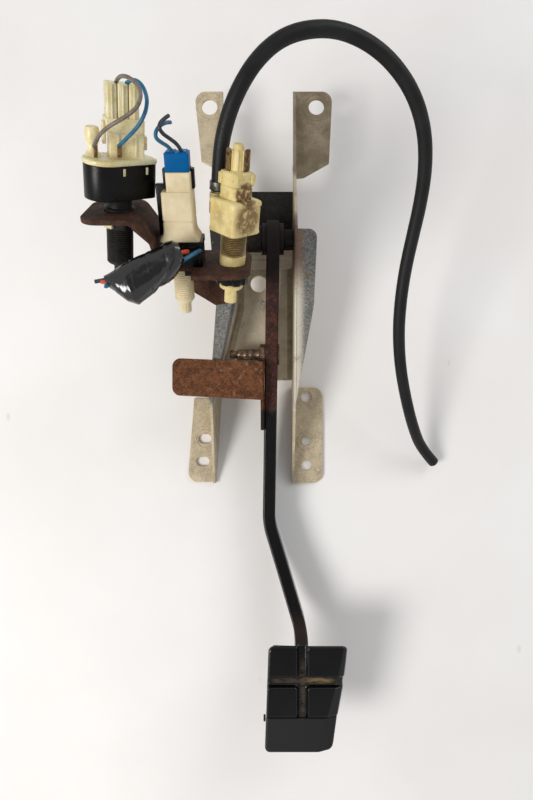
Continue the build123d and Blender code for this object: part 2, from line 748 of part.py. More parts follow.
# ------------------------------------------------------------ taped harness
BUNDLE_RIGHT = Vector(-88.0, 127.0, 193.0)
BUNDLE_LEFT = Vector(-133.0, 110.0, 193.0)
BUNDLE = Plane(origin=BUNDLE_RIGHT, x_dir=(0, 0, 1), z_dir=BUNDLE_LEFT - BUNDLE_RIGHT)
BUNDLE_LENGTH = (BUNDLE_LEFT - BUNDLE_RIGHT).length
# flat oval sections: place along the bundle, half depth, half width, sideways shift
BUNDLE_SECTIONS = [
    (0.0, 5.5, 6.5, 0.5),
    (0.2, 8.5, 10.9, 2.4),
    (0.74, 9.0, 13.0, 8.0),
    (1.0, 4.5, 4.0, 1.5),
]
with BuildPart() as tape_bundle:
    for place, half_depth, half_width, shift in BUNDLE_SECTIONS:
        with BuildSketch(BUNDLE.offset(place * BUNDLE_LENGTH)):
            with Locations((0.0, -shift)):
                Ellipse(half_depth, half_width)
    loft(ruled=True)
save(tape_bundle, "tape_bundle")

with BuildPart() as wire_stubs:
    for x, y, radius in [(-1.5, 0.5, 1.3), (0.8, -3.4, 1.1), (2.0, 0.2, 1.1)]:
        with BuildSketch(BUNDLE.offset(BUNDLE_LENGTH - 3.0)):
            with Locations((x, y)):
                Circle(radius)
        extrude(amount=7.0)
save(wire_stubs, "wire_stubs")


def link_wire(name, start, end):
    """A short wire between the socket's front and the taped harness."""
    run = Vector(*end) - Vector(*start)
    with BuildPart() as piece:
        with BuildSketch(Plane(origin=start, z_dir=run)):
            Circle(WIRE_R)
        extrude(amount=run.length)
    save(piece, name)


link_wire("link_wire_orange", (-86.5, 131.5, 174.9), (-92.0, 127.0, 187.0))
link_wire("link_wire_blue", (-79.0, 132.0, 175.3), (-87.5, 122.5, 188.0))
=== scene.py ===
import json
import math

import bmesh
import bpy
from mathutils import Matrix, Vector, noise

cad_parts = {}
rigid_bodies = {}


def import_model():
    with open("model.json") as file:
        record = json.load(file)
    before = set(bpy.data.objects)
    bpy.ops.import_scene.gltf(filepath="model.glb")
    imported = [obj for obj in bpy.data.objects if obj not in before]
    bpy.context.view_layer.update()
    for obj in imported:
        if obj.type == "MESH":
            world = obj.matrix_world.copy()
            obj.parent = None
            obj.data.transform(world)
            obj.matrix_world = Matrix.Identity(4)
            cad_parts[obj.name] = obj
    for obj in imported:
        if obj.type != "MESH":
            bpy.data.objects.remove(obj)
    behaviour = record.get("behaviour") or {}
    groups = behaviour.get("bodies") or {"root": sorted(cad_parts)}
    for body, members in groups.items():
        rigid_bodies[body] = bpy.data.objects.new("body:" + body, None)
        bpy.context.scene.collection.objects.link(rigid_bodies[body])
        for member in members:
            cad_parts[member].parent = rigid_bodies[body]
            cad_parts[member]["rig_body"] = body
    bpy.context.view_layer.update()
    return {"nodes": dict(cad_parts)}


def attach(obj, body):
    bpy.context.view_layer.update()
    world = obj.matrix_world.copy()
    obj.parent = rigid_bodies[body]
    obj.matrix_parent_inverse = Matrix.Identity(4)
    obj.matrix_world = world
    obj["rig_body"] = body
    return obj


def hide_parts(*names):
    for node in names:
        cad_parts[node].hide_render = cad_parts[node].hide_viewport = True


# Looks of a hanging brake pedal in its bracket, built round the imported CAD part.
# Piece sizes are in millimetres, in the row frame or in a piece's own frame; `place` takes them to metres.
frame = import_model()

MM = 0.001
ROW = Matrix.Scale(MM, 4)
TILT = math.radians(33.0)
AXIS = Vector((0.0, math.cos(TILT), math.sin(TILT)))
TAB_POINT = Vector((0.0, 128.0, 161.0))

# ------ camera
scene = bpy.context.scene
camera = bpy.data.objects.new("camera", bpy.data.cameras.new("camera"))
camera.location = (-0.037, 0.038, 0.540)
camera.data.lens = 26.1
camera.data.sensor_width = 36.0
camera.data.clip_start = 0.01
camera.data.clip_end = 20.0
scene.collection.objects.link(camera)
scene.camera = camera
scene.view_settings.view_transform = "Standard"


# ------ materials
def linear(colour):
    """An sRGB colour, 0 to 255, as linear RGBA."""
    parts = [c / 255.0 for c in colour]
    return [p / 12.92 if p <= 0.04045 else ((p + 0.055) / 1.055) ** 2.4 for p in parts] + [1.0]


class Look:
    """A procedural material, with sizes of its patterns in millimetres."""

    def __init__(self, name, **fixed):
        self.material = bpy.data.materials.new(name)
        self.material.use_nodes = True
        self.tree = self.material.node_tree
        self.surface = self.tree.nodes["Principled BSDF"]
        for socket, value in fixed.items():
            self.surface.inputs[socket.replace("_", " ")].default_value = value
        self.spot_on = self.node("ShaderNodeTexCoord", {}).outputs["Object"]

    def node(self, kind, inputs, **settings):
        made = self.tree.nodes.new(kind)
        for key, value in settings.items():
            setattr(made, key, value)
        for socket, value in inputs.items():
            if isinstance(value, bpy.types.NodeSocket):
                self.tree.links.new(value, made.inputs[socket])
            else:
                made.inputs[socket].default_value = value
        return made

    def stretched(self, stretch):
        if stretch is None:
            return self.spot_on
        return self.node("ShaderNodeMapping", {"Vector": self.spot_on, "Scale": stretch}).outputs[0]

    def noise(self, size, detail=4.0, rough=0.6, warp=0.0, stretch=None):
        inputs = {
            "Vector": self.stretched(stretch),
            "Scale": 1.0 / (size * MM),
            "Detail": detail,
            "Roughness": rough,
            "Distortion": warp,
        }
        return self.node("ShaderNodeTexNoise", inputs).outputs[0]

    def cells(self, size, stretch=None):
        inputs = {"Vector": self.stretched(stretch), "Scale": 1.0 / (size * MM)}
        return self.node("ShaderNodeTexVoronoi", inputs).outputs["Distance"]

    def span(self, source, low, high, bottom=0.0, top=1.0):
        """source from low to high becomes bottom to top, and stays there beyond."""
        inputs = {0: source, 1: low, 2: high, 3: bottom, 4: top}
        return self.node("ShaderNodeMapRange", inputs, interpolation_type="SMOOTHSTEP").outputs[0]

    def math(self, operation, a, b):
        return self.node("ShaderNodeMath", {0: a, 1: b}, operation=operation, use_clamp=True).outputs[0]

    def times(self, a, b):
        return self.math("MULTIPLY", a, b)

    def mix(self, factor, a, b):
        """Between two colours, each a socket or an sRGB triple."""
        sides = [x if isinstance(x, bpy.types.NodeSocket) else linear(x) for x in (a, b)]
        return self.node("ShaderNodeMix", {0: factor, 6: sides[0], 7: sides[1]}, data_type="RGBA").outputs[2]

    def along(self, letter):
        return self.node("ShaderNodeSeparateXYZ", {0: self.spot_on}).outputs[letter]

    def band(self, letter, low, high, bottom=0.0, top=1.0):
        """span of one coordinate of the row frame, in metres."""
        return self.span(self.along(letter), low, high, bottom, top)

    def near(self, point, inner, outer):
        """1 within inner millimetres of a point in metres, falling to 0 at outer."""
        distance = self.node("ShaderNodeVectorMath", {0: self.spot_on, 1: point}, operation="DISTANCE")
        return self.span(distance.outputs["Value"], inner * MM, outer * MM, 1.0, 0.0)

    def off_axis(self, place):
        """Distance in metres from the z axis of a piece's own frame."""
        inputs = {0: self.spot_on, 1: place.translation}
        from_origin = self.node("ShaderNodeVectorMath", inputs, operation="SUBTRACT")
        axis = place.col[2].to_3d().normalized()
        inputs = {0: from_origin.outputs["Vector"], 1: axis}
        across = self.node("ShaderNodeVectorMath", inputs, operation="CROSS_PRODUCT")
        inputs = {0: across.outputs["Vector"]}
        return self.node("ShaderNodeVectorMath", inputs, operation="LENGTH").outputs["Value"]

    def finish(self, colour, rough, height, depth, strength, metal=None):
        """Joins the patterns to the surface. The bump's depth is in millimetres."""
        self.tree.links.new(colour, self.surface.inputs["Base Color"])
        self.tree.links.new(rough, self.surface.inputs["Roughness"])
        if metal is not None:
            self.tree.links.new(metal, self.surface.inputs["Metallic"])
        inputs = {"Strength": strength, "Distance": depth * MM, "Height": height}
        bump = self.node("ShaderNodeBump", inputs)
        self.tree.links.new(bump.outputs["Normal"], self.surface.inputs["Normal"])
        return self.material


def sheet_look(name, dark, light):
    """Passivated sheet: warm ears and walls, grey sloping wings with a painted highlight along the bend,
    brownish towards its top, stains and specks.
    """
    look = Look(name, Specular_IOR_Level=0.4)
    cloud = look.noise(16.0, 6.0, 0.62)
    fine = look.noise(1.5, 3.0, 0.6)
    warm = look.mix(look.span(cloud, 0.36, 0.64), dark, light)
    warm = look.mix(look.span(fine, 0.42, 0.66, 0.0, 0.40), warm, (224, 210, 184))
    spangle = look.noise(1.9, 5.0, 0.72)
    cool = look.mix(look.span(spangle, 0.38, 0.60), (88, 88, 85), (128, 127, 123))
    raised = look.band("Z", 0.0385, 0.0440)
    below = look.band("Y", 0.182, 0.196, 1.0, 0.0)
    wing = look.times(raised, below)
    cool = look.mix(look.span(look.noise(1.3, 3.0, 0.6), 0.60, 0.70, 0.0, 0.5), cool, (172, 171, 166))
    colour = look.mix(wing, warm, cool)
    # painted highlight along the bend between the right wall and its wing, turning brownish towards the top
    bend = look.times(look.band("X", -0.0150, -0.0138), look.band("X", -0.0035, -0.0105))
    bend = look.times(bend, wing)
    bend_highlight = look.mix(look.band("Y", 0.120, 0.158), (214, 204, 186), (128, 100, 82))
    bend = look.times(bend, look.span(spangle, 0.2, 0.5, 0.55, 0.9))
    colour = look.mix(bend, colour, bend_highlight)
    end = look.times(look.band("Y", 0.150, 0.160), look.band("X", -0.062, -0.068))
    end = look.times(end, wing)
    colour = look.mix(look.times(end, 0.92), colour, (36, 28, 27))
    stain = look.span(look.noise(22.0, 5.0, 0.7), 0.56, 0.70)
    stain = look.times(stain, look.span(fine, 0.35, 0.6))
    colour = look.mix(look.times(stain, 0.65), colour, (112, 92, 66))
    specks = look.span(look.cells(3.4), 0.10, 0.17, 1.0, 0.0)
    specks = look.times(specks, look.span(look.noise(9.0, 3.0), 0.50, 0.60))
    colour = look.mix(look.times(specks, 0.75), colour, (70, 60, 48))
    pale = look.span(look.noise(5.0, 3.0, 0.5), 0.66, 0.74, 0.0, 0.5)
    colour = look.mix(pale, colour, (222, 210, 186))
    brown = look.times(look.band("Y", 0.225, 0.235), look.band("X", -0.020, -0.012))
    brown = look.times(brown, look.span(cloud, 0.3, 0.6, 0.45, 0.85))
    colour = look.mix(brown, colour, (98, 84, 62))
    metal = look.span(cloud, 0.3, 0.7, 0.06, 0.18)
    return look.finish(colour, look.span(fine, 0.3, 0.7, 0.42, 0.62), fine, 0.08, 0.6, metal)


def rust_look(name, base, dark, bright, patch, patch_share, blotch=9.0, painted_to=None):
    """Rusted steel: blotches, fine bright scale, dark pits and patches where the plating is left."""
    look = Look(name, Specular_IOR_Level=0.25)
    broad = look.noise(blotch, 6.0, 0.68, 0.6)
    fine = look.noise(1.5, 5.0, 0.72)
    colour = look.mix(look.span(broad, 0.36, 0.62), dark, base)
    colour = look.mix(look.span(fine, 0.50, 0.68, 0.0, 0.8), colour, bright)
    left = look.noise(blotch * 1.7, 4.0, 0.6, 0.4)
    left = look.span(left, 1.0 - patch_share, 1.08 - patch_share)
    colour = look.mix(look.times(left, look.span(fine, 0.35, 0.6)), colour, patch)
    pits = look.span(look.cells(2.3), 0.16, 0.30, 1.0, 0.0)
    pits = look.times(pits, look.span(broad, 0.42, 0.55))
    colour = look.mix(look.times(pits, 0.8), colour, [c * 0.35 for c in dark])
    if painted_to:
        painted = look.band("Y", painted_to, painted_to - 0.006)
        colour = look.mix(look.times(painted, 0.95), colour, (20, 19, 20))
    height = look.math("SUBTRACT", fine, look.times(pits, 0.7))
    return look.finish(colour, look.span(fine, 0.3, 0.7, 0.6, 0.92), height, 0.35, 0.9)


def arm_look():
    """Black paint on the lower arm, rust above it, darkest at the hub."""
    look = Look("arm_paint_look", Specular_IOR_Level=0.3)
    grain = look.noise(1.1, 4.0, 0.65)
    broad = look.noise(6.0, 5.0, 0.7)
    rust = look.mix(look.span(broad, 0.38, 0.62), (38, 19, 15), (70, 37, 27))
    rust = look.mix(look.span(grain, 0.57, 0.66, 0.0, 0.75), rust, (136, 84, 66))
    paint = look.mix(look.span(grain, 0.45, 0.7), (6, 6, 7), (16, 16, 17))
    dark_end = look.band("Y", 0.120, 0.150)
    rust = look.mix(look.times(dark_end, 0.92), rust, (15, 8, 7))
    bare = look.times(look.band("Y", 0.024, 0.034), look.band("Y", 0.018, 0.040, 0.6, 1.0))
    colour = look.mix(bare, paint, rust)
    neck = look.band("Y", -0.166, -0.138, 0.75, 0.0)
    colour = look.mix(neck, colour, (58, 38, 34))
    dusty = look.span(look.noise(2.4, 4.0, 0.7), 0.66, 0.74, 0.0, 0.35)
    colour = look.mix(dusty, colour, (124, 104, 84))
    rough = look.span(bare, 0.0, 1.0, 0.20, 0.78)
    return look.finish(colour, rough, grain, 0.3, 0.8)


def plastic_look(name, base, other, blotch, grain, rough, dirt, dirt_share, **fixed):
    """Moulded plastic, slightly uneven in colour, with grime."""
    look = Look(name, **fixed)
    cloud = look.noise(blotch, 5.0, 0.6)
    fine = look.noise(grain, 3.0, 0.6)
    colour = look.mix(look.span(cloud, 0.35, 0.65), base, other)
    share = look.noise(blotch * 0.6, 6.0, 0.75)
    share = look.span(share, 0.72 - dirt_share, 0.95 - dirt_share, 0.0, 0.85)
    colour = look.mix(look.times(share, look.span(fine, 0.3, 0.6)), colour, dirt)
    return look.finish(colour, look.span(fine, 0.3, 0.7, rough * 0.8, rough * 1.2), fine, 0.06, 0.6)


def valve_look(place):
    """Yellowed ivory, with brown stains on the right front faces of the block and neck."""
    look = Look("valve_ivory_look", Specular_IOR_Level=0.45, Subsurface_Weight=0.08)
    look.surface.inputs["Subsurface Radius"].default_value = (0.003, 0.002, 0.001)
    cloud = look.noise(9.0, 5.0, 0.6)
    fine = look.noise(1.2, 4.0, 0.65)
    colour = look.mix(look.span(cloud, 0.35, 0.65), (204, 182, 118), (228, 209, 150))
    streak = look.noise(4.2, 6.0, 0.7, 0.3)
    # stains: (place in the valve's frame, full within, gone beyond, strength)
    for local, inner, outer, share in [
        ((9.0, -9.0, 30.0), 7.0, 12.0, 0.85),
        ((6.5, -6.5, 44.5), 6.0, 8.5, 1.0),
        ((-9.5, -8.0, 30.0), 1.0, 8.0, 0.4),
        ((0.5, -7.0, 14.0), 7.0, 10.0, 0.7),
    ]:
        spot = look.near(place @ Vector(local), inner, outer)
        mask = look.times(spot, look.span(streak, 0.33, 0.52, 0.0, share))
        colour = look.mix(mask, colour, (112, 78, 36))
    # painted shade: the roots of the barrel's thread are painted a darker brown
    around = look.near(place @ Vector((0.0, 0.0, 12.4)), 9.6, 11.0)
    groove = look.times(around, look.span(look.off_axis(place), 8.5 * MM, 7.9 * MM))
    colour = look.mix(look.times(groove, 0.85), colour, (84, 62, 32))
    colour = look.mix(look.span(fine, 0.60, 0.72, 0.0, 0.3), colour, (164, 136, 80))
    return look.finish(colour, look.span(fine, 0.3, 0.7, 0.38, 0.55), fine, 0.08, 0.6)


def pad_look():
    """Glossy rubber, duller on the lower panel, with dirt left in the crossed grooves."""
    look = Look("pad_rubber_look", Specular_IOR_Level=0.45)
    grain = look.noise(0.8, 3.0, 0.6)
    cloud = look.noise(14.0, 4.0)
    colour = look.mix(look.span(cloud, 0.35, 0.65), (4, 4, 5), (8, 8, 9))
    low = look.band("Z", 0.0668, 0.0645)
    panel = look.band("Y", -0.2235, -0.2225, 1.0, 0.0)
    panel_top = look.times(panel, look.band("Z", 0.0625, 0.0640))
    colour = look.mix(panel_top, colour, (9, 9, 9))
    dust = look.noise(3.0, 5.0, 0.7, 0.0, (0.5, 1.6, 1.0))
    across = look.times(look.band("Y", -0.1955, -0.1930), look.band("Y", -0.1885, -0.1910))
    down = look.times(look.band("X", -0.0105, -0.0085), look.band("X", -0.0045, -0.0065))
    down = look.times(down, look.band("Y", -0.168, -0.186))
    down = look.times(down, look.band("Y", -0.2265, -0.2200))
    ends = look.times(look.band("X", -0.036, -0.028), look.band("X", 0.022, 0.012))
    groove = look.math("MAXIMUM", look.times(across, ends), look.times(down, 0.7))
    mask = look.times(groove, low)
    mask = look.times(mask, look.span(dust, 0.34, 0.58))
    right = look.band("X", -0.010, 0.004)
    dirt = look.mix(right, (58, 44, 31), (118, 98, 64))
    colour = look.mix(mask, colour, dirt)
    rough = look.span(look.math("MAXIMUM", panel, mask), 0.0, 1.0, 0.14, 0.62)
    return look.finish(colour, rough, grain, 0.05, 0.5)


def tape_look():
    """Shiny black tape with creases and specks of dust."""
    look = Look("vinyl_tape_look", Specular_IOR_Level=0.9)
    fine = look.noise(2.0, 4.0, 0.6)
    crease = look.noise(13.0, 2.0, 0.45, 0.8, (1.0, 0.55, 1.0))
    colour = look.mix(look.span(fine, 0.55, 0.8), (9, 9, 10), (30, 30, 32))
    dust = look.span(look.cells(6.0), 0.03, 0.06, 1.0, 0.0)
    colour = look.mix(look.times(dust, 0.5), colour, (190, 180, 165))
    return look.finish(colour, look.span(fine, 0.3, 0.7, 0.10, 0.22), crease, 2.0, 0.55)


def hose_look():
    """Matt black rubber with grey scuffs."""
    look = Look("hose_rubber_look", Specular_IOR_Level=0.3)
    fine = look.noise(1.0, 4.0, 0.7)
    cloud = look.noise(20.0, 5.0, 0.6)
    colour = look.mix(look.span(cloud, 0.35, 0.65), (12, 12, 13), (22, 22, 22))
    scuff = look.span(look.noise(4.0, 6.0, 0.75), 0.64, 0.76, 0.0, 0.45)
    colour = look.mix(scuff, colour, (84, 84, 84))
    return look.finish(colour, look.span(fine, 0.3, 0.7, 0.42, 0.62), fine, 0.12, 0.7)


def steel_look(name, base, rust, share, rough):
    """Bright turned steel with thin rust."""
    look = Look(name)
    fine = look.noise(1.0, 4.0, 0.65)
    broad = look.noise(5.0, 5.0, 0.7)
    worn = look.span(broad, 0.75 - share, 0.95 - share)
    rusty = look.mix(look.span(fine, 0.4, 0.65), rust, [c * 0.45 for c in rust])
    colour = look.mix(worn, base, rusty)
    metal = look.span(broad, 0.75 - share, 0.95 - share, 0.95, 0.1)
    rough = look.span(worn, 0.0, 1.0, rough, 0.8)
    return look.finish(colour, rough, fine, 0.15, 0.7, metal)


def floor_look():
    """The white table."""
    look = Look("floor_look", Specular_IOR_Level=0.2)
    cloud = look.noise(160.0, 4.0, 0.5)
    colour = look.mix(look.span(cloud, 0.3, 0.7), (240, 236, 233), (245, 243, 240))
    marks = look.span(look.cells(46.0, (1.0, 0.5, 1.0)), 0.03, 0.05, 1.0, 0.0)
    colour = look.mix(look.times(marks, 0.25), colour, (196, 186, 176))
    rough = look.span(cloud, 0.3, 0.7, 0.55, 0.7)
    return look.finish(colour, rough, look.noise(3.0), 0.03, 0.3)


# ------ mesh building
def local_frame(origin, axis, across=(1.0, 0.0, 0.0)):
    """Takes a piece's own millimetres, with z along axis, to the row frame in metres."""
    z = Vector(axis).normalized()
    x = (Vector(across) - z * z.dot(Vector(across))).normalized()
    turn = Matrix((x, z.cross(x), z)).transposed().to_4x4()
    return ROW @ Matrix.Translation(Vector(origin)) @ turn


def skin(bm, rings, capped=True):
    """Joins rings of equal count into one closed skin."""
    made = [[bm.verts.new(point) for point in ring] for ring in rings]
    count = len(made[0])
    pairs = list(zip(made, made[1:]))
    if not capped:
        pairs.append((made[-1], made[0]))
    for low, high in pairs:
        for i in range(count):
            j = (i + 1) % count
            bm.faces.new((low[i], low[j], high[j], high[i]))
    if capped:
        bm.faces.new(list(reversed(made[0])))
        bm.faces.new(made[-1])


def lathe(bm, profile, steps=64, closed=False, shape=None, x=0.0, y=0.0):
    """Turns (radius, height) points about z. shape(radius, height, angle) gives a changed radius."""
    rings = []
    for radius, height in profile:
        ring = []
        for i in range(steps):
            angle = 2.0 * math.pi * i / steps
            r = shape(radius, height, angle) if shape else radius
            ring.append((x + r * math.cos(angle), y + r * math.sin(angle), height))
        rings.append(ring)
    skin(bm, rings, capped=not closed)


def spun(x, y, degrees):
    """A point turned about the z axis."""
    c, s = math.cos(math.radians(degrees)), math.sin(math.radians(degrees))
    return x * c - y * s, x * s + y * c


def rounded_ring(height, width, depth, corner, x=0.0, y=0.0, turn=0.0, steps=5):
    """A rounded rectangle as a ring of points."""
    corner = min(corner, 0.499 * width, 0.499 * depth)
    ring = []
    for quarter, (side_x, side_y) in enumerate([(1, 1), (-1, 1), (-1, -1), (1, -1)]):
        for i in range(steps + 1):
            angle = math.radians(90.0 * quarter + 90.0 * i / steps)
            px = side_x * (width / 2 - corner) + corner * math.cos(angle)
            py = side_y * (depth / 2 - corner) + corner * math.sin(angle)
            px, py = spun(px, py, turn)
            ring.append((x + px, y + py, height))
    return ring


def tower(bm, levels, corner, x=0.0, y=0.0, turn=0.0):
    """Stacked (height, width, depth) levels, one closed skin."""
    rings = []
    for height, width, depth in levels:
        rings.append(rounded_ring(height, width, depth, corner, x, y, turn))
    skin(bm, rings)


def soft_levels(low, high, width, depth, soft):
    """Levels of a block whose end edges are rounded by soft."""
    foot, head = [], []
    for degrees in (0.0, 30.0, 60.0, 90.0):
        a = math.radians(degrees)
        rise, inset = soft * (1.0 - math.cos(a)), 2.0 * soft * (1.0 - math.sin(a))
        foot.append((low + rise, width - inset, depth - inset))
        head.append((high - rise, width - inset, depth - inset))
    return foot + head[::-1]


def soft_block(bm, low, high, width, depth, corner, x, y, turn, soft):
    tower(bm, soft_levels(low, high, width, depth, soft), corner, x, y, turn)


def soft_blocks(bm, rows, turn=0.0):
    """Rounded blocks from rows of (from, to, width, depth, corner, x, y, edge rounding)."""
    for low, high, width, depth, corner, x, y, soft in rows:
        soft_block(bm, low, high, width, depth, corner, x, y, turn, soft)


def thread(radius, depth, pitch, low, high, wall=6.0):
    """Shape for lathe: a screw thread between two heights, faded at its ends."""

    def shape(r, height, angle):
        if r < wall or not low < height < high:
            return r
        fade = min(1.0, (height - low) / pitch, (high - height) / pitch)
        phase = (height / pitch - angle / (2.0 * math.pi)) % 1.0
        return radius - depth * fade * (1.0 - abs(2.0 * phase - 1.0))

    return shape


def sweep(bm, points, radius, steps=16, runs=6):
    """A tube along points, smoothed between them as a Catmull-Rom curve."""
    path = [Vector(p) for p in points]
    line = []
    for i in range(len(path) - 1):
        before, after = path[max(i - 1, 0)], path[min(i + 2, len(path) - 1)]
        a, b = path[i], path[i + 1]
        square = 2 * before - 5 * a + 4 * b - after
        cube = 3 * a - before - 3 * b + after
        for k in range(runs):
            t = k / runs
            line.append(0.5 * (2 * a + (b - before) * t + square * t * t + cube * t**3))
    line.append(path[-1])
    side = (line[1] - line[0]).orthogonal().normalized()
    rings = []
    for i, point in enumerate(line):
        ahead = (line[min(i + 1, len(line) - 1)] - line[max(i - 1, 0)]).normalized()
        side = (side - ahead * side.dot(ahead)).normalized()
        other = ahead.cross(side)
        ring = []
        for k in range(steps):
            a = 2.0 * math.pi * k / steps
            ring.append(point + side * (radius * math.cos(a)) + other * (radius * math.sin(a)))
        rings.append(ring)
    skin(bm, rings)


def plate_with_hole(bm, width, low, high, thickness, corner, hole_radius, hole_height):
    """A flat blade in the local xz plane, with a round hole through its thickness."""
    outer = rounded_ring(0.0, width, high - low, corner)
    loops = []
    for y in (-thickness / 2, thickness / 2):
        rim = [(px, y, (low + high) / 2 + py) for px, py, _ in outer]
        hole = []
        for px, _, pz in rim:
            a = math.atan2(pz - hole_height, px)
            hole.append((hole_radius * math.cos(a), y, hole_height + hole_radius * math.sin(a)))
        loops.append((rim, hole))
    (rim_front, hole_front), (rim_back, hole_back) = loops
    skin(bm, [rim_front, rim_back, hole_back, hole_front], capped=False)


def piece(name, bm, place, look, nodes=(), body="bracket", crisp=38.0, bevel=0.0):
    """A finished mesh piece riding on a body."""
    bmesh.ops.remove_doubles(bm, verts=bm.verts, dist=1e-5)
    bmesh.ops.recalc_face_normals(bm, faces=bm.faces)
    bmesh.ops.transform(bm, matrix=place, verts=bm.verts)
    mesh = bpy.data.meshes.new(name)
    bm.to_mesh(mesh)
    bm.free()
    if "custom_normal" in mesh.attributes:
        mesh.attributes.remove(mesh.attributes["custom_normal"])
    mesh.shade_smooth()
    mesh.set_sharp_from_angle(angle=math.radians(crisp))
    mesh.materials.clear()
    mesh.materials.append(look)
    made = bpy.data.objects.new(name, mesh)
    scene.collection.objects.link(made)
    if bevel:
        edges = made.modifiers.new("edges", "BEVEL")
        edges.width = bevel * MM
        edges.segments = 3
        edges.limit_method = "ANGLE"
        edges.angle_limit = math.radians(32.0)
        edges.use_clamp_overlap = False
        edges.harden_normals = True
    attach(made, body)
    if nodes:
        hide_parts(*nodes)
    return made


def block_piece(name, place, look, blocks, nodes=(), turn=0.0):
    bm = bmesh.new()
    soft_blocks(bm, blocks, turn)
    piece(name, bm, place, look, nodes)


def softened(node, look, bevel):
    """The CAD node's shape with its sharp edges rounded."""
    source = frame["nodes"][node]
    bm = bmesh.new()
    bm.from_mesh(source.data)
    bmesh.ops.remove_doubles(bm, verts=bm.verts, dist=1e-6)
    bmesh.ops.dissolve_limit(bm, angle_limit=math.radians(0.8), verts=bm.verts, edges=bm.edges)
    here = Matrix.Identity(4)
    return piece(node + "_shape", bm, here, look, [node], source["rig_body"], bevel=bevel)


def carried(look, *nodes):
    """CAD nodes shown as they are."""
    for node in nodes:
        materials = frame["nodes"][node].data.materials
        materials.clear()
        materials.append(look)


# ------ frames of the three plunger units
def unit_frame(x, lean, step=0.0):
    """A unit's frame: x in the row frame, lean towards +X and distance along the axis from the tab."""
    origin = TAB_POINT + AXIS * step + Vector((x, 0.0, 0.0))
    return local_frame(origin, AXIS + Vector((lean, 0.0, 0.0)))


VALVE = unit_frame(-59.3, 0.085)
SWITCH = unit_frame(-92.0, 0.0)
OUTER = unit_frame(-128.3, 0.12, 34.0)

# ------ the looks in use
galvanised = sheet_look("galvanised_sheet_look", (170, 155, 128), (200, 184, 154))
# the web's look is the sheet look painted lighter: painted light standing in for light that the walls keep
# off the web
web_sheet_painted_light = sheet_look("web_sheet_look", (226, 211, 182), (248, 235, 208))
dark_sheet = rust_look(
    "dark_sheet_look", (38, 36, 33), (22, 21, 20), (70, 62, 52), (52, 50, 46), 0.30, 14.0
)
leg_rust = rust_look(
    "switch_bracket_look", (74, 46, 33), (42, 26, 19), (104, 66, 46), (94, 74, 56), 0.34
)
flag_rust = rust_look(
    "flag_rust_look", (112, 68, 40), (66, 36, 21), (146, 96, 60), (134, 112, 84), 0.40, 5.0, 0.033
)
arm_paint = arm_look()
pad_rubber = pad_look()
hose_rubber = hose_look()
vinyl = tape_look()
valve_ivory = valve_look(VALVE)
zinc = steel_look("zinc_steel_look", (176, 170, 158), (104, 74, 52), 0.25, 0.35)
clamp_steel = steel_look("clamp_steel_look", (112, 110, 104), (48, 42, 36), 0.36, 0.4)
pin_steel = steel_look("pin_steel_look", (150, 128, 104), (84, 48, 32), 0.36, 0.34)
brass = steel_look("brass_look", (150, 118, 66), (84, 62, 40), 0.34, 0.35)
spring_steel = steel_look("spring_steel_look", (170, 168, 164), (110, 84, 60), 0.12, 0.3)


# plastics: two base colours, blotch and grain in mm, roughness, dirt colour and share
dull = {"Specular_IOR_Level": 0.2}
bush_black = plastic_look(
    "bush_nylon_look", (12, 9, 8), (24, 17, 13), 6.0, 1.2, 0.55, (56, 36, 24), 0.25, **dull
)
black_plastic = plastic_look(
    "black_plastic_look", (7, 7, 7), (13, 13, 13), 10.0, 1.0, 0.32, (70, 64, 56), 0.05, **dull
)
cream = plastic_look(
    "switch_cream_look", (212, 195, 156), (228, 211, 174), 12.0, 1.2, 0.45, (158, 136, 96), 0.10,
    Specular_IOR_Level=0.45,
)
thread_black = plastic_look(
    "thread_black_look", (18, 16, 15), (32, 29, 27), 8.0, 1.2, 0.5, (86, 70, 56), 0.14,
    Specular_IOR_Level=0.25,
)
milky = plastic_look(
    "milky_plastic_look", (224, 202, 146), (244, 228, 182), 11.0, 1.5, 0.30, (184, 150, 84), 0.08,
    Transmission_Weight=0.06, Subsurface_Weight=0.15,
)
blue_plastic = plastic_look(
    "blue_plastic_look", (0, 88, 146), (0, 98, 160), 9.0, 1.0, 0.38, (170, 190, 205), 0.0,
    Specular_IOR_Level=0.1,
)


def wire_look(colour_name, base, other, dirt, rough=0.45, share=0.12):
    return plastic_look("wire_%s_look" % colour_name, base, other, 4.0, 1.0, rough, dirt, share)


wire_blue = wire_look("blue", (20, 84, 118), (44, 112, 146), (18, 40, 56), 0.42)
wire_grey = wire_look("grey", (98, 88, 80), (124, 112, 100), (60, 52, 46))
wire_orange = wire_look("orange", (206, 70, 44), (226, 96, 66), (120, 44, 30))
wire_dark = wire_look("dark", (26, 30, 38), (44, 52, 62), (70, 70, 72), 0.42, 0.10)

# ------ cords, all in metres
HOSE_ACROSS = 0.0095
HOSE_BORE = 0.0055
WIRE_ACROSS = 0.0022
HOSE_ROUTE = [
    (-0.0672, 0.1696, 0.1755), (-0.0659, 0.1822, 0.1837), (-0.0637, 0.1945, 0.1919),
    (-0.0585, 0.2085, 0.2000), (-0.0505, 0.2220, 0.2065), (-0.0410, 0.2340, 0.2095),
    (-0.0285, 0.2445, 0.2096), (-0.0135, 0.2512, 0.2068), (0.0040, 0.2542, 0.2023),
    (0.0225, 0.2508, 0.1964), (0.0395, 0.2425, 0.1890), (0.0550, 0.2295, 0.1780),
    (0.0655, 0.2135, 0.1640), (0.0705, 0.1960, 0.1485), (0.0715, 0.1780, 0.1325),
    (0.0700, 0.1590, 0.1170), (0.0678, 0.1380, 0.1030), (0.0670, 0.1150, 0.0900),
    (0.0685, 0.0910, 0.0760), (0.0735, 0.0650, 0.0610), (0.0820, 0.0380, 0.0455),
    (0.0920, 0.0130, 0.0305), (0.1030, -0.0060, 0.0160), (0.1165, -0.0190, 0.0065),
]
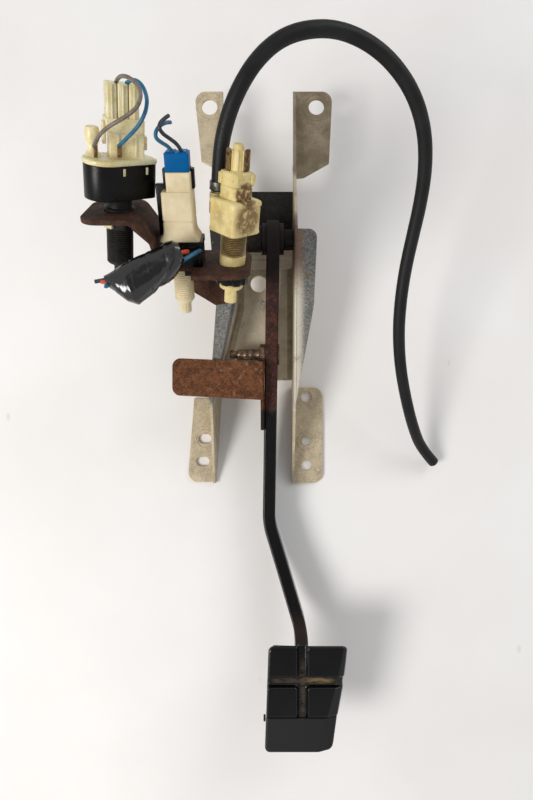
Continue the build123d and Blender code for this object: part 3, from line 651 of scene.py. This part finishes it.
GREY_ROUTE = [
    (-0.1210, 0.2145, 0.2170), (-0.1175, 0.2145, 0.2250), (-0.1095, 0.2100, 0.2310),
    (-0.1030, 0.2020, 0.2330), (-0.1050, 0.1940, 0.2315), (-0.1130, 0.1895, 0.2290),
    (-0.1225, 0.1865, 0.2255), (-0.1310, 0.1840, 0.2185), (-0.1353, 0.1825, 0.2095),
]
BLUE_ROUTE = [
    (-0.1150, 0.2145, 0.2170), (-0.1100, 0.2140, 0.2230), (-0.1035, 0.2080, 0.2265),
    (-0.1010, 0.1985, 0.2260), (-0.1055, 0.1895, 0.2230), (-0.1138, 0.1854, 0.2158),
    (-0.1221, 0.1843, 0.2058),
]
PLUG_BLUE_ROUTE = [
    (-0.0919, 0.1830, 0.2010), (-0.0936, 0.1844, 0.2050), (-0.0968, 0.1848, 0.2090),
    (-0.0998, 0.1860, 0.2125), (-0.0992, 0.1896, 0.2140), (-0.0968, 0.1936, 0.2120),
    (-0.0940, 0.1976, 0.2070), (-0.0930, 0.1996, 0.2025),
]
PLUG_DARK_ROUTE = [
    (-0.0865, 0.1830, 0.2010), (-0.0878, 0.1848, 0.2060), (-0.0914, 0.1860, 0.2110),
    (-0.0956, 0.1874, 0.2152), (-0.0970, 0.1902, 0.2178), (-0.0952, 0.1942, 0.2166),
    (-0.0924, 0.1986, 0.2124),
]


def cord_curve(name, route, diameter, look, node):
    data = bpy.data.curves.new(name, "CURVE")
    data.dimensions = "3D"
    data.bevel_depth = 1.0
    data.bevel_resolution = 8
    data.resolution_u = 16
    data.use_fill_caps = True
    spline = data.splines.new("NURBS")
    spline.points.add(len(route) - 1)
    for point, position in zip(spline.points, route):
        point.co = (*position, 1.0)
        point.radius = diameter / 2
    spline.order_u = 3
    spline.use_endpoint_u = True
    data.materials.append(look)
    made = bpy.data.objects.new(name, data)
    scene.collection.objects.link(made)
    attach(made, "bracket")
    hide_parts(node)
    return made


hose = cord_curve("hose", HOSE_ROUTE, HOSE_ACROSS, hose_rubber, "vacuum_hose")
hose.data.use_fill_caps = False
wall = hose.modifiers.new("wall", "SOLIDIFY")
wall.thickness = (HOSE_ACROSS - HOSE_BORE) / 2
wall.offset = -1.0
plug_blue = cord_curve("plug_blue", PLUG_BLUE_ROUTE, WIRE_ACROSS, wire_blue, "plug_wire_blue")
plug_dark = cord_curve("plug_dark", PLUG_DARK_ROUTE, WIRE_ACROSS, wire_dark, "plug_wire_dark")
loop_grey = cord_curve("loop_grey", GREY_ROUTE, WIRE_ACROSS, wire_grey, "loop_wire_grey")
loop_blue = cord_curve("loop_blue", BLUE_ROUTE, WIRE_ACROSS, wire_blue, "loop_wire_blue")

# the clamp goes round the hose just after it leaves the valve block
clamp_frame = local_frame(Vector(HOSE_ROUTE[0]) / MM, Vector(HOSE_ROUTE[1]) - Vector(HOSE_ROUTE[0]))
bm = bmesh.new()
lathe(bm, [(4.78, 0.8), (5.55, 0.8), (5.65, 1.1), (5.65, 5.5), (5.55, 5.8), (4.78, 5.8)], 48, closed=True)
soft_block(bm, 2.0, 4.6, 3.0, 2.4, 0.6, 0.0, 6.2, 0.0, 0.4)
clamp = piece("clamp", bm, clamp_frame, clamp_steel, ["hose_clamp"])

# ------ bracket pressings
for node in ("right_side_plate", "left_side_plate"):
    softened(node, galvanised, 0.45)
softened("web_plate", web_sheet_painted_light, 0.45)
softened("cross_plate", dark_sheet, 0.45)


def bend_strip(name, corner_from, corner_to, into, radius=4.5):
    """The concave bend between the web and a side plate, along a line, filling the corner towards `into`."""
    start, end = Vector(corner_from), Vector(corner_to)
    side, up = Vector(into), Vector((0.0, 0.0, 1.0))
    bm = bmesh.new()
    rings = []
    for point in (start, end):
        ring = [point - side * 0.6 - up * 0.6]
        for k in range(7):
            a = math.radians(15.0 * k)
            inward, upward = radius * (1.0 - math.sin(a)), radius * (1.0 - math.cos(a))
            ring.append(point + side * inward + up * upward)
        rings.append(ring)
    skin(bm, rings)
    piece(name, bm, ROW, galvanised, crisp=60.0)


bend_strip("right_bend", (-14.0, 56.5, 20.0), (-14.0, 155.0, 20.0), (-1.0, 0.0, 0.0))
bend_strip("left_bend_low", (-76.5, 56.5, 20.0), (-61.8, 118.0, 20.0), (1.0, 0.0, 0.0))
bend_strip("left_bend_high", (-61.8, 118.0, 20.0), (-61.0, 155.0, 20.0), (1.0, 0.0, 0.0))

# the web's sloping end, up to the cross plate
bm = bmesh.new()
lip = [(155.0, 19.2), (156.4, 20.2), (168.2, 31.0), (169.2, 31.2), (169.2, 30.2), (164.0, 25.6)]
lip.append((158.0, 19.2))
skin(bm, [[(x, y, z) for y, z in lip] for x in (-62.5, -14.2)])
piece("web_lip", bm, ROW, web_sheet_painted_light, crisp=30.0)


def emboss(name, x, y, z, inner, outer, height):
    """The pressed ring round a hole."""
    bm = bmesh.new()
    middle, half = (inner + outer) / 2, 0.3 * (outer - inner)
    profile = [(inner, z - 0.4), (outer, z - 0.4), (outer, z + 0.05)]
    profile += [(middle + half, z + height), (middle - half, z + height), (inner, z + 0.05)]
    lathe(bm, profile, 56, closed=True, x=x, y=y)
    piece(name, bm, ROW, galvanised, crisp=60.0)


emboss("ring_locating_hole", 0.0, 0.0, 2.5, 7.2, 8.8, 0.45)
emboss("ring_left_slot", -94.0, 2.0, 2.5, 7.6, 9.0, 0.35)
emboss("ring_upper_right", 6.5, 293.5, 34.5, 10.6, 12.2, 0.5)
emboss("ring_upper_left", -86.6, 293.5, 34.5, 10.6, 12.2, 0.5)

# ------ pivot
for node in ("pivot_bolt", "pivot_nut", "pivot_sleeve"):
    softened(node, zinc, 0.3)
for node in ("pivot_bush_left", "pivot_bush_right", "spacer_tube", "spacer_ring"):
    softened(node, bush_black, 0.4)

# ------ pedal
softened("pedal_arm", arm_paint, 1.7)
softened("pedal_flag", flag_rust, 0.7)
softened("pad_plate", arm_paint, 0.4)

PIN_PROFILE = [
    (0.4, -68.8), (3.4, -68.8), (4.1, -68.1), (4.1, -65.3), (3.6, -64.6), (3.2, -64.2),
    (3.2, -63.2), (3.6, -62.8), (4.3, -62.2), (4.75, -61.4), (4.75, -51.0), (5.0, -50.6),
    (5.0, -49.4), (4.75, -49.0), (4.75, -45.0), (5.6, -43.4), (8.7, -42.6), (9.2, -42.1),
    (9.2, -38.8), (8.8, -38.3), (4.74, -38.3), (4.74, -27.2), (8.8, -27.2), (9.2, -26.9),
    (9.2, -26.3), (8.7, -26.0), (0.4, -26.0),
]
bm = bmesh.new()
lathe(bm, PIN_PROFILE, 48)
PIN = local_frame((0.0, 77.4, 35.0), (1.0, 0.0, 0.0), (0.0, 1.0, 0.0))
piece("pin", bm, PIN, pin_steel, ["pushrod_pin"], body="pedal")

# ------ pad
PAD_LEFT = [(-251.0, -38.4), (-163.0, -35.4)]
PAD_RIGHT = [(-251.0, 17.6), (-246.0, 18.4), (-222.0, 21.5), (-199.0, 25.5), (-180.0, 27.9), (-163.0, 29.6)]
PAD_WIDTH = 62.0
PAD_HEIGHT = 88.0
PAD_CORNER = 4.5
PAD_FOOT = 52.5
PAD_FACE = 68.0


def read_table(table, value):
    """Linear reading of (place, value) rows."""
    for (a, va), (b, vb) in zip(table, table[1:]):
        if value <= b:
            return va + (vb - va) * max(0.0, (value - a) / (b - a))
    return table[-1][1]


def smooth(low, high, value):
    t = min(1.0, max(0.0, (value - low) / (high - low)))
    return t * t * (3.0 - 2.0 * t)


def round_corner(u, v):
    """Moves a point of the pad's square grid so that the corners are round; gives the edge distance too."""
    r = PAD_CORNER
    from_left, from_foot = u < PAD_WIDTH / 2, v < PAD_HEIGHT / 2
    a = u if from_left else PAD_WIDTH - u
    b = v if from_foot else PAD_HEIGHT - v
    gap = min(a, b)
    if a < r and b < r:
        p, q = r - a, r - b
        p, q = p * math.sqrt(1.0 - q * q / (2.0 * r * r)), q * math.sqrt(1.0 - p * p / (2.0 * r * r))
        a, b = r - p, r - q
        gap = r - math.hypot(p, q)
    return (a if from_left else PAD_WIDTH - a), (b if from_foot else PAD_HEIGHT - b), gap


def raised(x, y, low_x, high_x, low_y, high_y, corner=3.4, slope=2.2):
    """1 inside a rounded block of the tread, falling to 0 just outside it."""
    dx = max(low_x + corner - x, x - high_x + corner, 0.0)
    dy = max(low_y + corner - y, y - high_y + corner, 0.0)
    return 1.0 - smooth(-slope, 0.3, math.hypot(dx, dy) - corner)


def pad_height(x, y, gap, right_gap):
    tread = max(
        raised(x, y, -60.0, -10.4, -189.6, -150.0),
        raised(x, y, -4.8, 60.0, -189.6, -150.0),
        raised(x, y, -60.0, -10.4, -222.2, -195.2),
        raised(x, y, -4.8, 60.0, -222.2, -195.2),
    )
    floor_height = 64.2 - 1.0 * smooth(-190.0, -160.0, y)
    if y < -222.0:
        floor_height = 65.6
    height = floor_height + (PAD_FACE - floor_height) * tread
    bevel_width = 3.0 + 9.0 * (-163.0 - y) / 86.0
    height -= 0.42 * max(0.0, bevel_width - right_gap)
    roll = 2.0
    if gap < roll:
        height -= roll - math.sqrt(max(0.0, roll * roll - (roll - gap) ** 2))
    return max(height, PAD_FOOT + 1.0)


bm = bmesh.new()
columns, rows = 124, 160
grid = []
for j in range(rows + 1):
    line = []
    for i in range(columns + 1):
        u, v, gap = round_corner(PAD_WIDTH * i / columns, PAD_HEIGHT * j / rows)
        y = -251.0 + v
        left, right = read_table(PAD_LEFT, y), read_table(PAD_RIGHT, y)
        x = left + (right - left) * u / PAD_WIDTH
        line.append(bm.verts.new((x, y, pad_height(x, y, gap, right - x))))
    grid.append(line)
for j in range(rows):
    for i in range(columns):
        bm.faces.new((grid[j][i], grid[j][i + 1], grid[j + 1][i + 1], grid[j + 1][i]))
rim = grid[0] + [row[-1] for row in grid[1:]]
rim += list(reversed(grid[-1][:-1])) + [row[0] for row in reversed(grid[1:-1])]
foot = []
for vertex in rim:
    inward = Vector((-6.0, -206.0, 0.0)) - vertex.co
    foot.append(bm.verts.new((vertex.co.x + 0.05 * inward.x, vertex.co.y + 0.15 * inward.y, PAD_FOOT)))
for i in range(len(rim)):
    j = (i + 1) % len(rim)
    bm.faces.new((rim[i], foot[i], foot[j], rim[j]))
bm.faces.new(foot)
soft_block(bm, 55.0, 59.5, 1.8, 4.0, 0.6, -38.6, -226.5, 0.0, 0.4)
piece("pad", bm, ROW, pad_rubber, ["pedal_pad"], crisp=50.0, body="pedal")

# ------ switch bracket
softened("switch_bracket", leg_rust, 0.5)
softened("bracket_rivets", leg_rust, 0.4)

# ------ vacuum release valve
bm = bmesh.new()
profile = [(0.3, 14.0), (4.6, 14.0), (4.6, -16.6), (5.2, -17.0), (7.3, -17.0), (7.7, -16.6), (7.7, -14.6)]
profile += [(7.3, -14.2), (6.8, -13.6), (8.35, -12.8), (8.35, 4.8)]
profile += [(8.35, 5.2 + 0.16 * k) for k in range(89)]
profile += [(8.35, 19.8), (0.3, 19.8)]
lathe(bm, profile, 72, shape=thread(8.35, 0.85, 1.15, 5.2, 19.4))
piece("valve_barrel_shape", bm, VALVE, valve_ivory, ["valve_barrel"])


def clip_shape(r, height, angle):
    """A push-on clip's outline, notched round its rim."""
    if r < 9.2:
        return r
    return r - 1.3 * smooth(0.2, 0.6, math.cos(8.0 * angle))


bm = bmesh.new()
profile = [(8.45, -13.0), (10.4, -13.0), (11.0, -12.2), (11.0, -5.0), (10.5, -4.3), (8.45, -4.3)]
lathe(bm, profile, 96, closed=True, shape=clip_shape)
piece("valve_clip", bm, VALVE, black_plastic, ["valve_retainer"])

bm = bmesh.new()
tower(bm, soft_levels(-27.5, -5.0, 8.0, 8.0, 0.9), 2.6)
piece("valve_tip", bm, VALVE, valve_ivory, ["valve_plunger"], body="valve_stem")

bm = bmesh.new()
levels = [(20.0, 21.6, 21.6), (20.35, 22.9, 22.9), (21.0, 23.8, 23.8), (21.9, 24.0, 24.0), (22.5, 23.5, 23.5)]
levels += [(23.0, 23.4, 23.4), (36.6, 23.4, 23.4), (37.1, 23.0, 23.0), (37.6, 23.0, 23.0), (37.9, 24.2, 24.2)]
levels += [(39.6, 24.2, 24.2), (40.5, 23.4, 23.4), (41.0, 21.8, 21.8)]
tower(bm, levels, 2.6, turn=45.0)
tower(bm, soft_levels(40.6, 48.5, 14.5, 14.5, 0.5), 1.4, turn=45.0)
soft_block(bm, 41.0, 43.2, 17.2, 3.0, 1.0, -3.4, 5.6, 45.0, 0.5)
profile = [(0.3, 28.0), (5.2, 28.0), (5.5, 28.4), (5.5, 40.4), (5.1, 41.0), (2.7, 41.0), (2.7, 52.8)]
lathe(bm, profile + [(0.3, 52.8)], 40, x=-11.5, y=10.5)
piece("valve_block_shape", bm, VALVE, valve_ivory, ["valve_block"])

bm = bmesh.new()
levels = [(48.5, 14.6, 14.6), (48.9, 15.6, 15.6), (49.6, 16.0, 16.0), (52.0, 16.0, 16.0), (52.5, 15.2, 15.2)]
levels += [(53.1, 15.2, 15.2), (53.6, 16.2, 16.2), (56.2, 16.2, 16.2), (56.8, 15.4, 15.4), (57.0, 14.2, 14.2)]
tower(bm, levels, 3.0, turn=45.0)
for side in (-1.0, 1.0):
    soft_block(bm, 49.5, 56.0, 3.4, 3.4, 0.8, side * 9.2, -1.0, 45.0, 0.5)
soft_block(bm, 50.0, 55.0, 3.0, 2.0, 0.8, 0.0, -9.4, 0.0, 0.4)
piece("valve_collar_shape", bm, VALVE, valve_ivory, ["valve_collar"])

bm = bmesh.new()
profile = [(0.3, 56.6), (4.1, 56.6), (3.9, 57.4), (3.6, 62.0), (3.4, 70.6), (3.0, 72.0), (2.2, 72.5)]
lathe(bm, profile + [(0.3, 72.5)], 40)
for angle in (-150.0, -90.0, -30.0, 90.0):
    a = math.radians(angle)
    x, y = 3.6 * math.cos(a), 3.6 * math.sin(a)
    soft_block(bm, 56.8, 69.0, 1.3, 1.6, 0.3, x, y, angle + 90.0, 0.3)
piece("valve_post_shape", bm, VALVE, valve_ivory, ["valve_post"])

for name, side, replaced in (("blade_left", -1.0, ["valve_blades"]), ("blade_right", 1.0, [])):
    bm = bmesh.new()
    plate_with_hole(bm, 5.0, 56.6, 69.6, 0.9, 1.4, 0.95, 66.0)
    turned = VALVE @ Matrix.Translation((side * 5.6, -0.6, 0.0))
    turned @= Matrix.Rotation(math.radians(side * 58.0), 4, "Z")
    piece(name, bm, turned, brass, replaced, bevel=0.12)

# ------ brake lamp switch
bm = bmesh.new()
profile = [(0.3, -6.0), (3.95, -6.0), (3.95, -26.6), (4.3, -27.0), (4.9, -27.0), (6.0, -25.2)]
for k in range(17):
    base = -24.6 + 1.5 * k
    profile += [(6.5, base), (6.5, base + 0.75), (6.15, base + 0.95), (6.15, base + 1.3)]
profile += [(6.5, 0.0), (0.3, 0.0)]
lathe(bm, [p for p in profile if p[1] <= 0.0], 56)
piece("brake_barrel", bm, SWITCH, cream, ["brake_switch_barrel"])


def fluted(r, height, angle):
    """Shallow flutes down the plunger's side."""
    if r <= 3.0 or height <= -34.0:
        return r
    return r - 0.22 * smooth(0.4, 0.9, math.cos(10.0 * angle))


bm = bmesh.new()
profile = [(0.3, -35.0), (2.8, -35.0), (3.5, -34.6), (3.85, -33.8), (3.85, -27.4), (3.85, -19.2)]
profile.append((0.3, -19.2))
lathe(bm, profile, 60, shape=fluted)
piece("brake_tip", bm, SWITCH, cream, ["brake_switch_plunger"], body="brake_switch_stem")

blocks = [
    (0.0, 12.6, 20.0, 19.0, 1.4, 4.3, 0.0, 0.5),
    (12.2, 16.2, 21.0, 19.4, 1.4, 4.3, 0.0, 0.4),
    (9.6, 11.6, 15.0, 1.6, 0.4, 4.0, -9.8, 0.4),
    (1.0, 12.0, 2.4, 3.0, 0.6, 13.4, -8.6, 0.4),
    (-6.5, -3.2, 4.4, 3.2, 0.6, 4.4, -6.4, 0.4),
]
block_piece("brake_socket", SWITCH, black_plastic, blocks, ["brake_switch_socket"])

bm = bmesh.new()
levels = [(16.0, 24.4, 18.6), (16.5, 25.0, 19.2), (17.6, 24.4, 19.2), (19.0, 22.4, 18.8), (20.4, 20.8, 18.4)]
levels += [(21.8, 19.8, 18.1), (23.4, 19.2, 18.0), (28.0, 18.9, 18.0), (28.4, 17.9, 17.2), (29.0, 17.9, 17.2)]
levels += [(29.4, 19.1, 18.3), (36.0, 18.9, 18.3), (45.4, 18.6, 18.1), (46.0, 17.8, 17.2)]
tower(bm, levels, 1.6, 0.8)
soft_block(bm, 24.6, 25.2, 3.0, 0.8, 0.3, 3.0, -9.0, 0.0, 0.2)
piece("brake_body", bm, SWITCH, cream, ["brake_switch_body"])

blocks = [
    (21.5, 48.6, 22.6, 5.0, 1.0, -1.8, 4.0, 0.6),
    (46.6, 58.4, 19.0, 6.0, 1.0, 2.0, 1.0, 0.6),
    (16.4, 22.5, 6.0, 4.0, 0.8, -10.6, 5.8, 0.5),
]
block_piece("brake_carrier", SWITCH, black_plastic, blocks)

blocks = [
    (45.8, 57.0, 14.9, 15.0, 1.2, 2.3, 0.0, 0.6),
    (45.9, 46.7, 15.4, 15.6, 1.2, 2.3, 0.0, 0.3),
]
block_piece("brake_cover", SWITCH, cream, blocks, ["brake_switch_cover"])

blocks = [
    (56.9, 67.6, 14.3, 12.0, 1.0, 2.0, 0.0, 0.5),
    (66.8, 68.3, 5.4, 9.6, 0.8, -1.5, 0.0, 0.4),
    (66.8, 68.3, 5.4, 9.6, 0.8, 5.5, 0.0, 0.4),
    (57.4, 58.4, 14.8, 12.6, 1.0, 2.0, 0.0, 0.3),
]
block_piece("brake_plug", SWITCH, blue_plastic, blocks, ["brake_switch_plug"])

# ------ outer switch
bm = bmesh.new()
profile = [(0.3, -6.0), (4.1, -6.0), (4.1, -33.6), (4.6, -34.0), (7.2, -34.0), (8.1, -33.2)]
profile += [(8.4, -32.6 + 0.2 * k) for k in range(158)]
profile += [(8.4, -0.2), (0.3, -0.2)]
lathe(bm, profile, 72, shape=thread(8.4, 0.6, 1.4, -32.6, -1.4, 7.4))
piece("outer_barrel", bm, OUTER, thread_black, ["outer_switch_barrel"])
bm = bmesh.new()
lathe(bm, [(0.3, -42.0), (2.8, -42.0), (3.7, -41.4), (4.0, -40.4), (4.0, -26.2), (0.3, -26.2)], 48)
piece("outer_tip", bm, OUTER, thread_black, ["outer_switch_plunger"], body="outer_switch_stem")


def hex_shape(r, height, angle):
    """A hexagon nut's outline for radii beyond its thread."""
    if r < 9.0:
        return r
    return min(r, 9.5 / math.cos((angle % (math.pi / 3.0)) - math.pi / 6.0))


bm = bmesh.new()
profile = [(8.45, -10.5), (9.6, -10.5), (10.6, -10.0), (10.8, -9.2), (10.8, -5.4), (10.2, -4.7), (8.45, -4.7)]
lathe(bm, profile, 72, closed=True, shape=hex_shape)
piece("outer_nut", bm, OUTER, thread_black, ["outer_switch_nut"])
tab = (-9.4, -4.9, 5.4, 2.6, 0.6, -4.6, -9.8, 0.4)
block_piece("outer_clip_tab", OUTER, milky, [tab], turn=-20.0)
bm = bmesh.new()
profile = [(0.3, 0.0), (9.2, 0.0), (9.4, 0.4), (9.4, 1.4), (9.0, 1.8), (7.7, 2.0), (7.7, 7.0), (8.3, 8.0)]
lathe(bm, profile + [(0.3, 8.0)], 56)
piece("outer_neck", bm, OUTER, thread_black, ["outer_switch_neck"])


HOUSING_TURN = 46.0


def housing_ring(height, length, width, corner=3.4, steps=10):
    """One end round, the other nearly square, turned about the switch's axis."""
    outline = []
    for k in range(2 * steps + 1):
        a = math.radians(90.0 + 180.0 * k / (2 * steps))
        outline.append((-length / 2 + width / 2 + width / 2 * math.cos(a), width / 2 * math.sin(a)))
    for side, first in ((-1.0, -90.0), (1.0, 0.0)):
        for k in range(steps // 2 + 1):
            a = math.radians(first + 90.0 * k / (steps // 2))
            x = length / 2 - corner + corner * math.cos(a)
            outline.append((x, side * (width / 2 - corner) + corner * math.sin(a)))
    turned = [spun(x, y, HOUSING_TURN) for x, y in outline]
    return [(x - 1.0, y, height) for x, y in turned]


def housing(bm, low, high, length, width, soft):
    rings = []
    for height, along, across in soft_levels(low, high, length, width, soft):
        rings.append(housing_ring(height, along, across))
    skin(bm, rings)


bm = bmesh.new()
housing(bm, 8.0, 28.0, 42.0, 24.0, 0.5)
piece("outer_body", bm, OUTER, black_plastic, ["outer_switch_body"])
bm = bmesh.new()
housing(bm, 27.9, 30.9, 43.0, 25.0, 0.9)
for along in (-3.0, 13.0):
    x, y = spun(along, -11.8, HOUSING_TURN)
    soft_block(bm, 22.4, 26.6, 1.8, 0.7, 0.3, x - 1.0, y, HOUSING_TURN, 0.2)
piece("outer_flange", bm, OUTER, milky, ["outer_switch_cover"])

CONNECTOR_TURN = 20.0


def connector_block(low, high, width, depth, across, away, corner=0.8, soft=0.4):
    """A block of the connector, placed across and away from the viewer in its own turned frame."""
    x, y = spun(across, away, CONNECTOR_TURN)
    soft_block(bm, low, high, width, depth, corner, 2.2 + x, 1.5 + y, CONNECTOR_TURN, soft)


bm = bmesh.new()
connector_block(30.6, 46.0, 20.0, 13.6, 1.6, 0.0)
connector_block(44.6, 52.4, 22.0, 14.8, 0.6, 0.0, 1.0, 0.6)
connector_block(38.5, 50.5, 2.2, 5.0, -11.2, -3.6)
connector_block(36.0, 43.5, 2.2, 6.0, 12.4, -2.0)
for across in (-6.2, 0.0, 6.2):
    connector_block(51.6, 70.0, 5.7, 12.4, across - 0.4, 0.0, 1.1, 0.5)
    connector_block(51.6, 69.2, 1.0, 1.2, across - 0.4, -6.5, 0.3, 0.2)
connector_block(51.6, 68.6, 18.0, 9.6, -0.4, 0.4, 0.6, 0.3)
connector_block(32.0, 44.0, 1.2, 1.2, -3.4, -7.1, 0.3, 0.3)
connector_block(32.0, 44.0, 1.2, 1.2, 6.6, -7.1, 0.3, 0.3)
piece("outer_connector_shape", bm, OUTER, milky, ["outer_connector"])

bm = bmesh.new()
profile = [(0.3, 30.6), (4.9, 30.6), (4.6, 31.2), (3.6, 33.2), (3.1, 34.0), (3.0, 37.0), (3.3, 37.4)]
profile += [(3.3, 37.8), (3.1, 38.2), (3.8, 38.6), (4.0, 39.2), (4.0, 45.8), (3.7, 46.6), (2.9, 47.0)]
profile.append((0.3, 47.0))
lathe(bm, profile, 44, x=-13.6, y=-6.2)
piece("outer_tube", bm, OUTER, milky, ["outer_cap_tube"])
blocks = [
    (30.8, 37.4, 2.2, 2.2, 0.4, -11.2, -9.2, 0.3),
    (32.0, 38.6, 2.4, 3.0, 0.4, 2.0, -6.6, 0.3),
]
block_piece("outer_terminals", OUTER, brass, blocks, turn=CONNECTOR_TURN)

# ------ taped harness
BUNDLE_FROM = Vector((-88.0, 127.0, 193.0))
BUNDLE_TO = Vector((-133.0, 110.0, 193.0))
BUNDLE = local_frame(BUNDLE_FROM, BUNDLE_TO - BUNDLE_FROM, (0.0, 0.0, 1.0))
BUNDLE_LENGTH = (BUNDLE_TO - BUNDLE_FROM).length
HALF_DEPTH = [(0.0, 4.6), (0.06, 6.2), (0.2, 8.3), (0.5, 9.2), (0.74, 8.8), (0.9, 6.2), (1.0, 4.3)]
HALF_WIDTH = [(0.0, 5.6), (0.06, 8.6), (0.2, 10.9), (0.5, 12.3), (0.74, 13.0), (0.84, 10.5), (1.0, 3.8)]
SHIFT = [(0.0, 0.0), (0.06, 0.3), (0.2, 2.4), (0.5, 4.9), (0.74, 7.8), (0.84, 6.6), (1.0, 1.4)]
bm = bmesh.new()
rings = []
for k in range(81):
    t = k / 80.0
    depth, width, shift = read_table(HALF_DEPTH, t), read_table(HALF_WIDTH, t), read_table(SHIFT, t)
    ring = []
    for i in range(96):
        a = 2.0 * math.pi * i / 96
        c, s = math.cos(a), math.sin(a)
        stretch = (abs(c) ** 2.5 + abs(s) ** 2.5) ** (-1.0 / 2.5)
        p = Vector((0.050 * depth * c, 0.050 * width * s, 0.020 * t * BUNDLE_LENGTH))
        fold = 1.0 - 2.0 * abs(noise.noise(p * 1.5 + Vector((3.1, 0.4, 7.7))))
        crumple = noise.noise(p * 3.0 + Vector((9.0, 2.0, 1.0)))
        wrap = ((t * 4.5 + i / 96.0) % 1.0) ** 4
        size = 0.97 + 0.07 * crumple - 0.13 * max(0.0, fold) ** 6 + 0.03 * wrap
        ring.append((depth * stretch * size * c, width * stretch * size * s - shift, t * BUNDLE_LENGTH))
    rings.append(ring)
skin(bm, rings)
piece("tape", bm, BUNDLE, vinyl, ["tape_bundle"], crisp=55.0)

for name, look, (x, y), reach, replaced in (
    ("stub_dark", wire_dark, (-1.5, 0.5), 9.0, ["wire_stubs"]),
    ("stub_orange", wire_orange, (1.6, -1.6), 5.0, []),
    ("stub_blue", wire_blue, (2.6, -4.4), 3.5, []),
):
    bm = bmesh.new()
    end = BUNDLE_LENGTH + reach - 2.0
    start = (x * 0.6, y * 0.5, BUNDLE_LENGTH - 6.0)
    sweep(bm, [start, (x, y, BUNDLE_LENGTH), (x * 1.3, y * 1.2 + 1.2, end)], 1.25)
    piece(name, bm, BUNDLE, look, replaced)

LINKS = {
    "orange": (wire_orange, [(-86.5, 131.5, 174.9), (-88.4, 129.6, 180.8), (-92.5, 126.6, 187.5)]),
    "blue": (wire_blue, [(-79.0, 132.0, 175.3), (-81.6, 128.4, 181.6), (-87.9, 122.4, 188.4)]),
}
for colour_name, (look, points) in LINKS.items():
    bm = bmesh.new()
    sweep(bm, points, 1.35)
    piece("link_" + colour_name, bm, ROW, look, ["link_wire_" + colour_name])

carried(spring_steel, "valve_spring", "brake_switch_spring", "outer_switch_spring")

# ------ floor and light
floor_mesh = bpy.data.meshes.new("floor")
bm = bmesh.new()
bmesh.ops.create_grid(bm, x_segments=2, y_segments=2, size=3.0)
bm.to_mesh(floor_mesh)
bm.free()
floor_mesh.materials.append(floor_look())
table_top = bpy.data.objects.new("floor", floor_mesh)
table_top.location = (0.0, 0.0, -0.0004)
scene.collection.objects.link(table_top)


def area_light(name, place, size, power, colour):
    data = bpy.data.lights.new(name, "AREA")
    data.shape = "DISK"
    data.size = size
    data.energy = power
    data.color = colour
    light = bpy.data.objects.new(name, data)
    light.location = place
    aim = Vector((-0.03, 0.06, 0.05)) - Vector(place)
    light.rotation_mode = "QUATERNION"
    light.rotation_quaternion = aim.to_track_quat("-Z", "Y")
    scene.collection.objects.link(light)


area_light("key", (-1.0, -0.42, 1.15), 0.6, 14.0, (1.0, 0.98, 0.95))
area_light("fill", (0.95, 1.05, 1.0), 0.8, 6.0, (0.95, 0.97, 1.0))
world = bpy.data.worlds.new("room")
world.use_nodes = True
tree = world.node_tree
background = tree.nodes["Background"]
background.inputs["Color"].default_value = (0.97, 0.98, 1.0, 1.0)
sky = tree.nodes.new("ShaderNodeTexCoord")
parts = tree.nodes.new("ShaderNodeSeparateXYZ")
dimmed = tree.nodes.new("ShaderNodeMapRange")
for socket, value in ((1, 0.80), (2, 0.92), (3, 0.60), (4, 0.26)):
    dimmed.inputs[socket].default_value = value
tree.links.new(sky.outputs["Generated"], parts.inputs[0])
tree.links.new(parts.outputs["Z"], dimmed.inputs[0])
tree.links.new(dimmed.outputs[0], background.inputs["Strength"])
scene.world = world
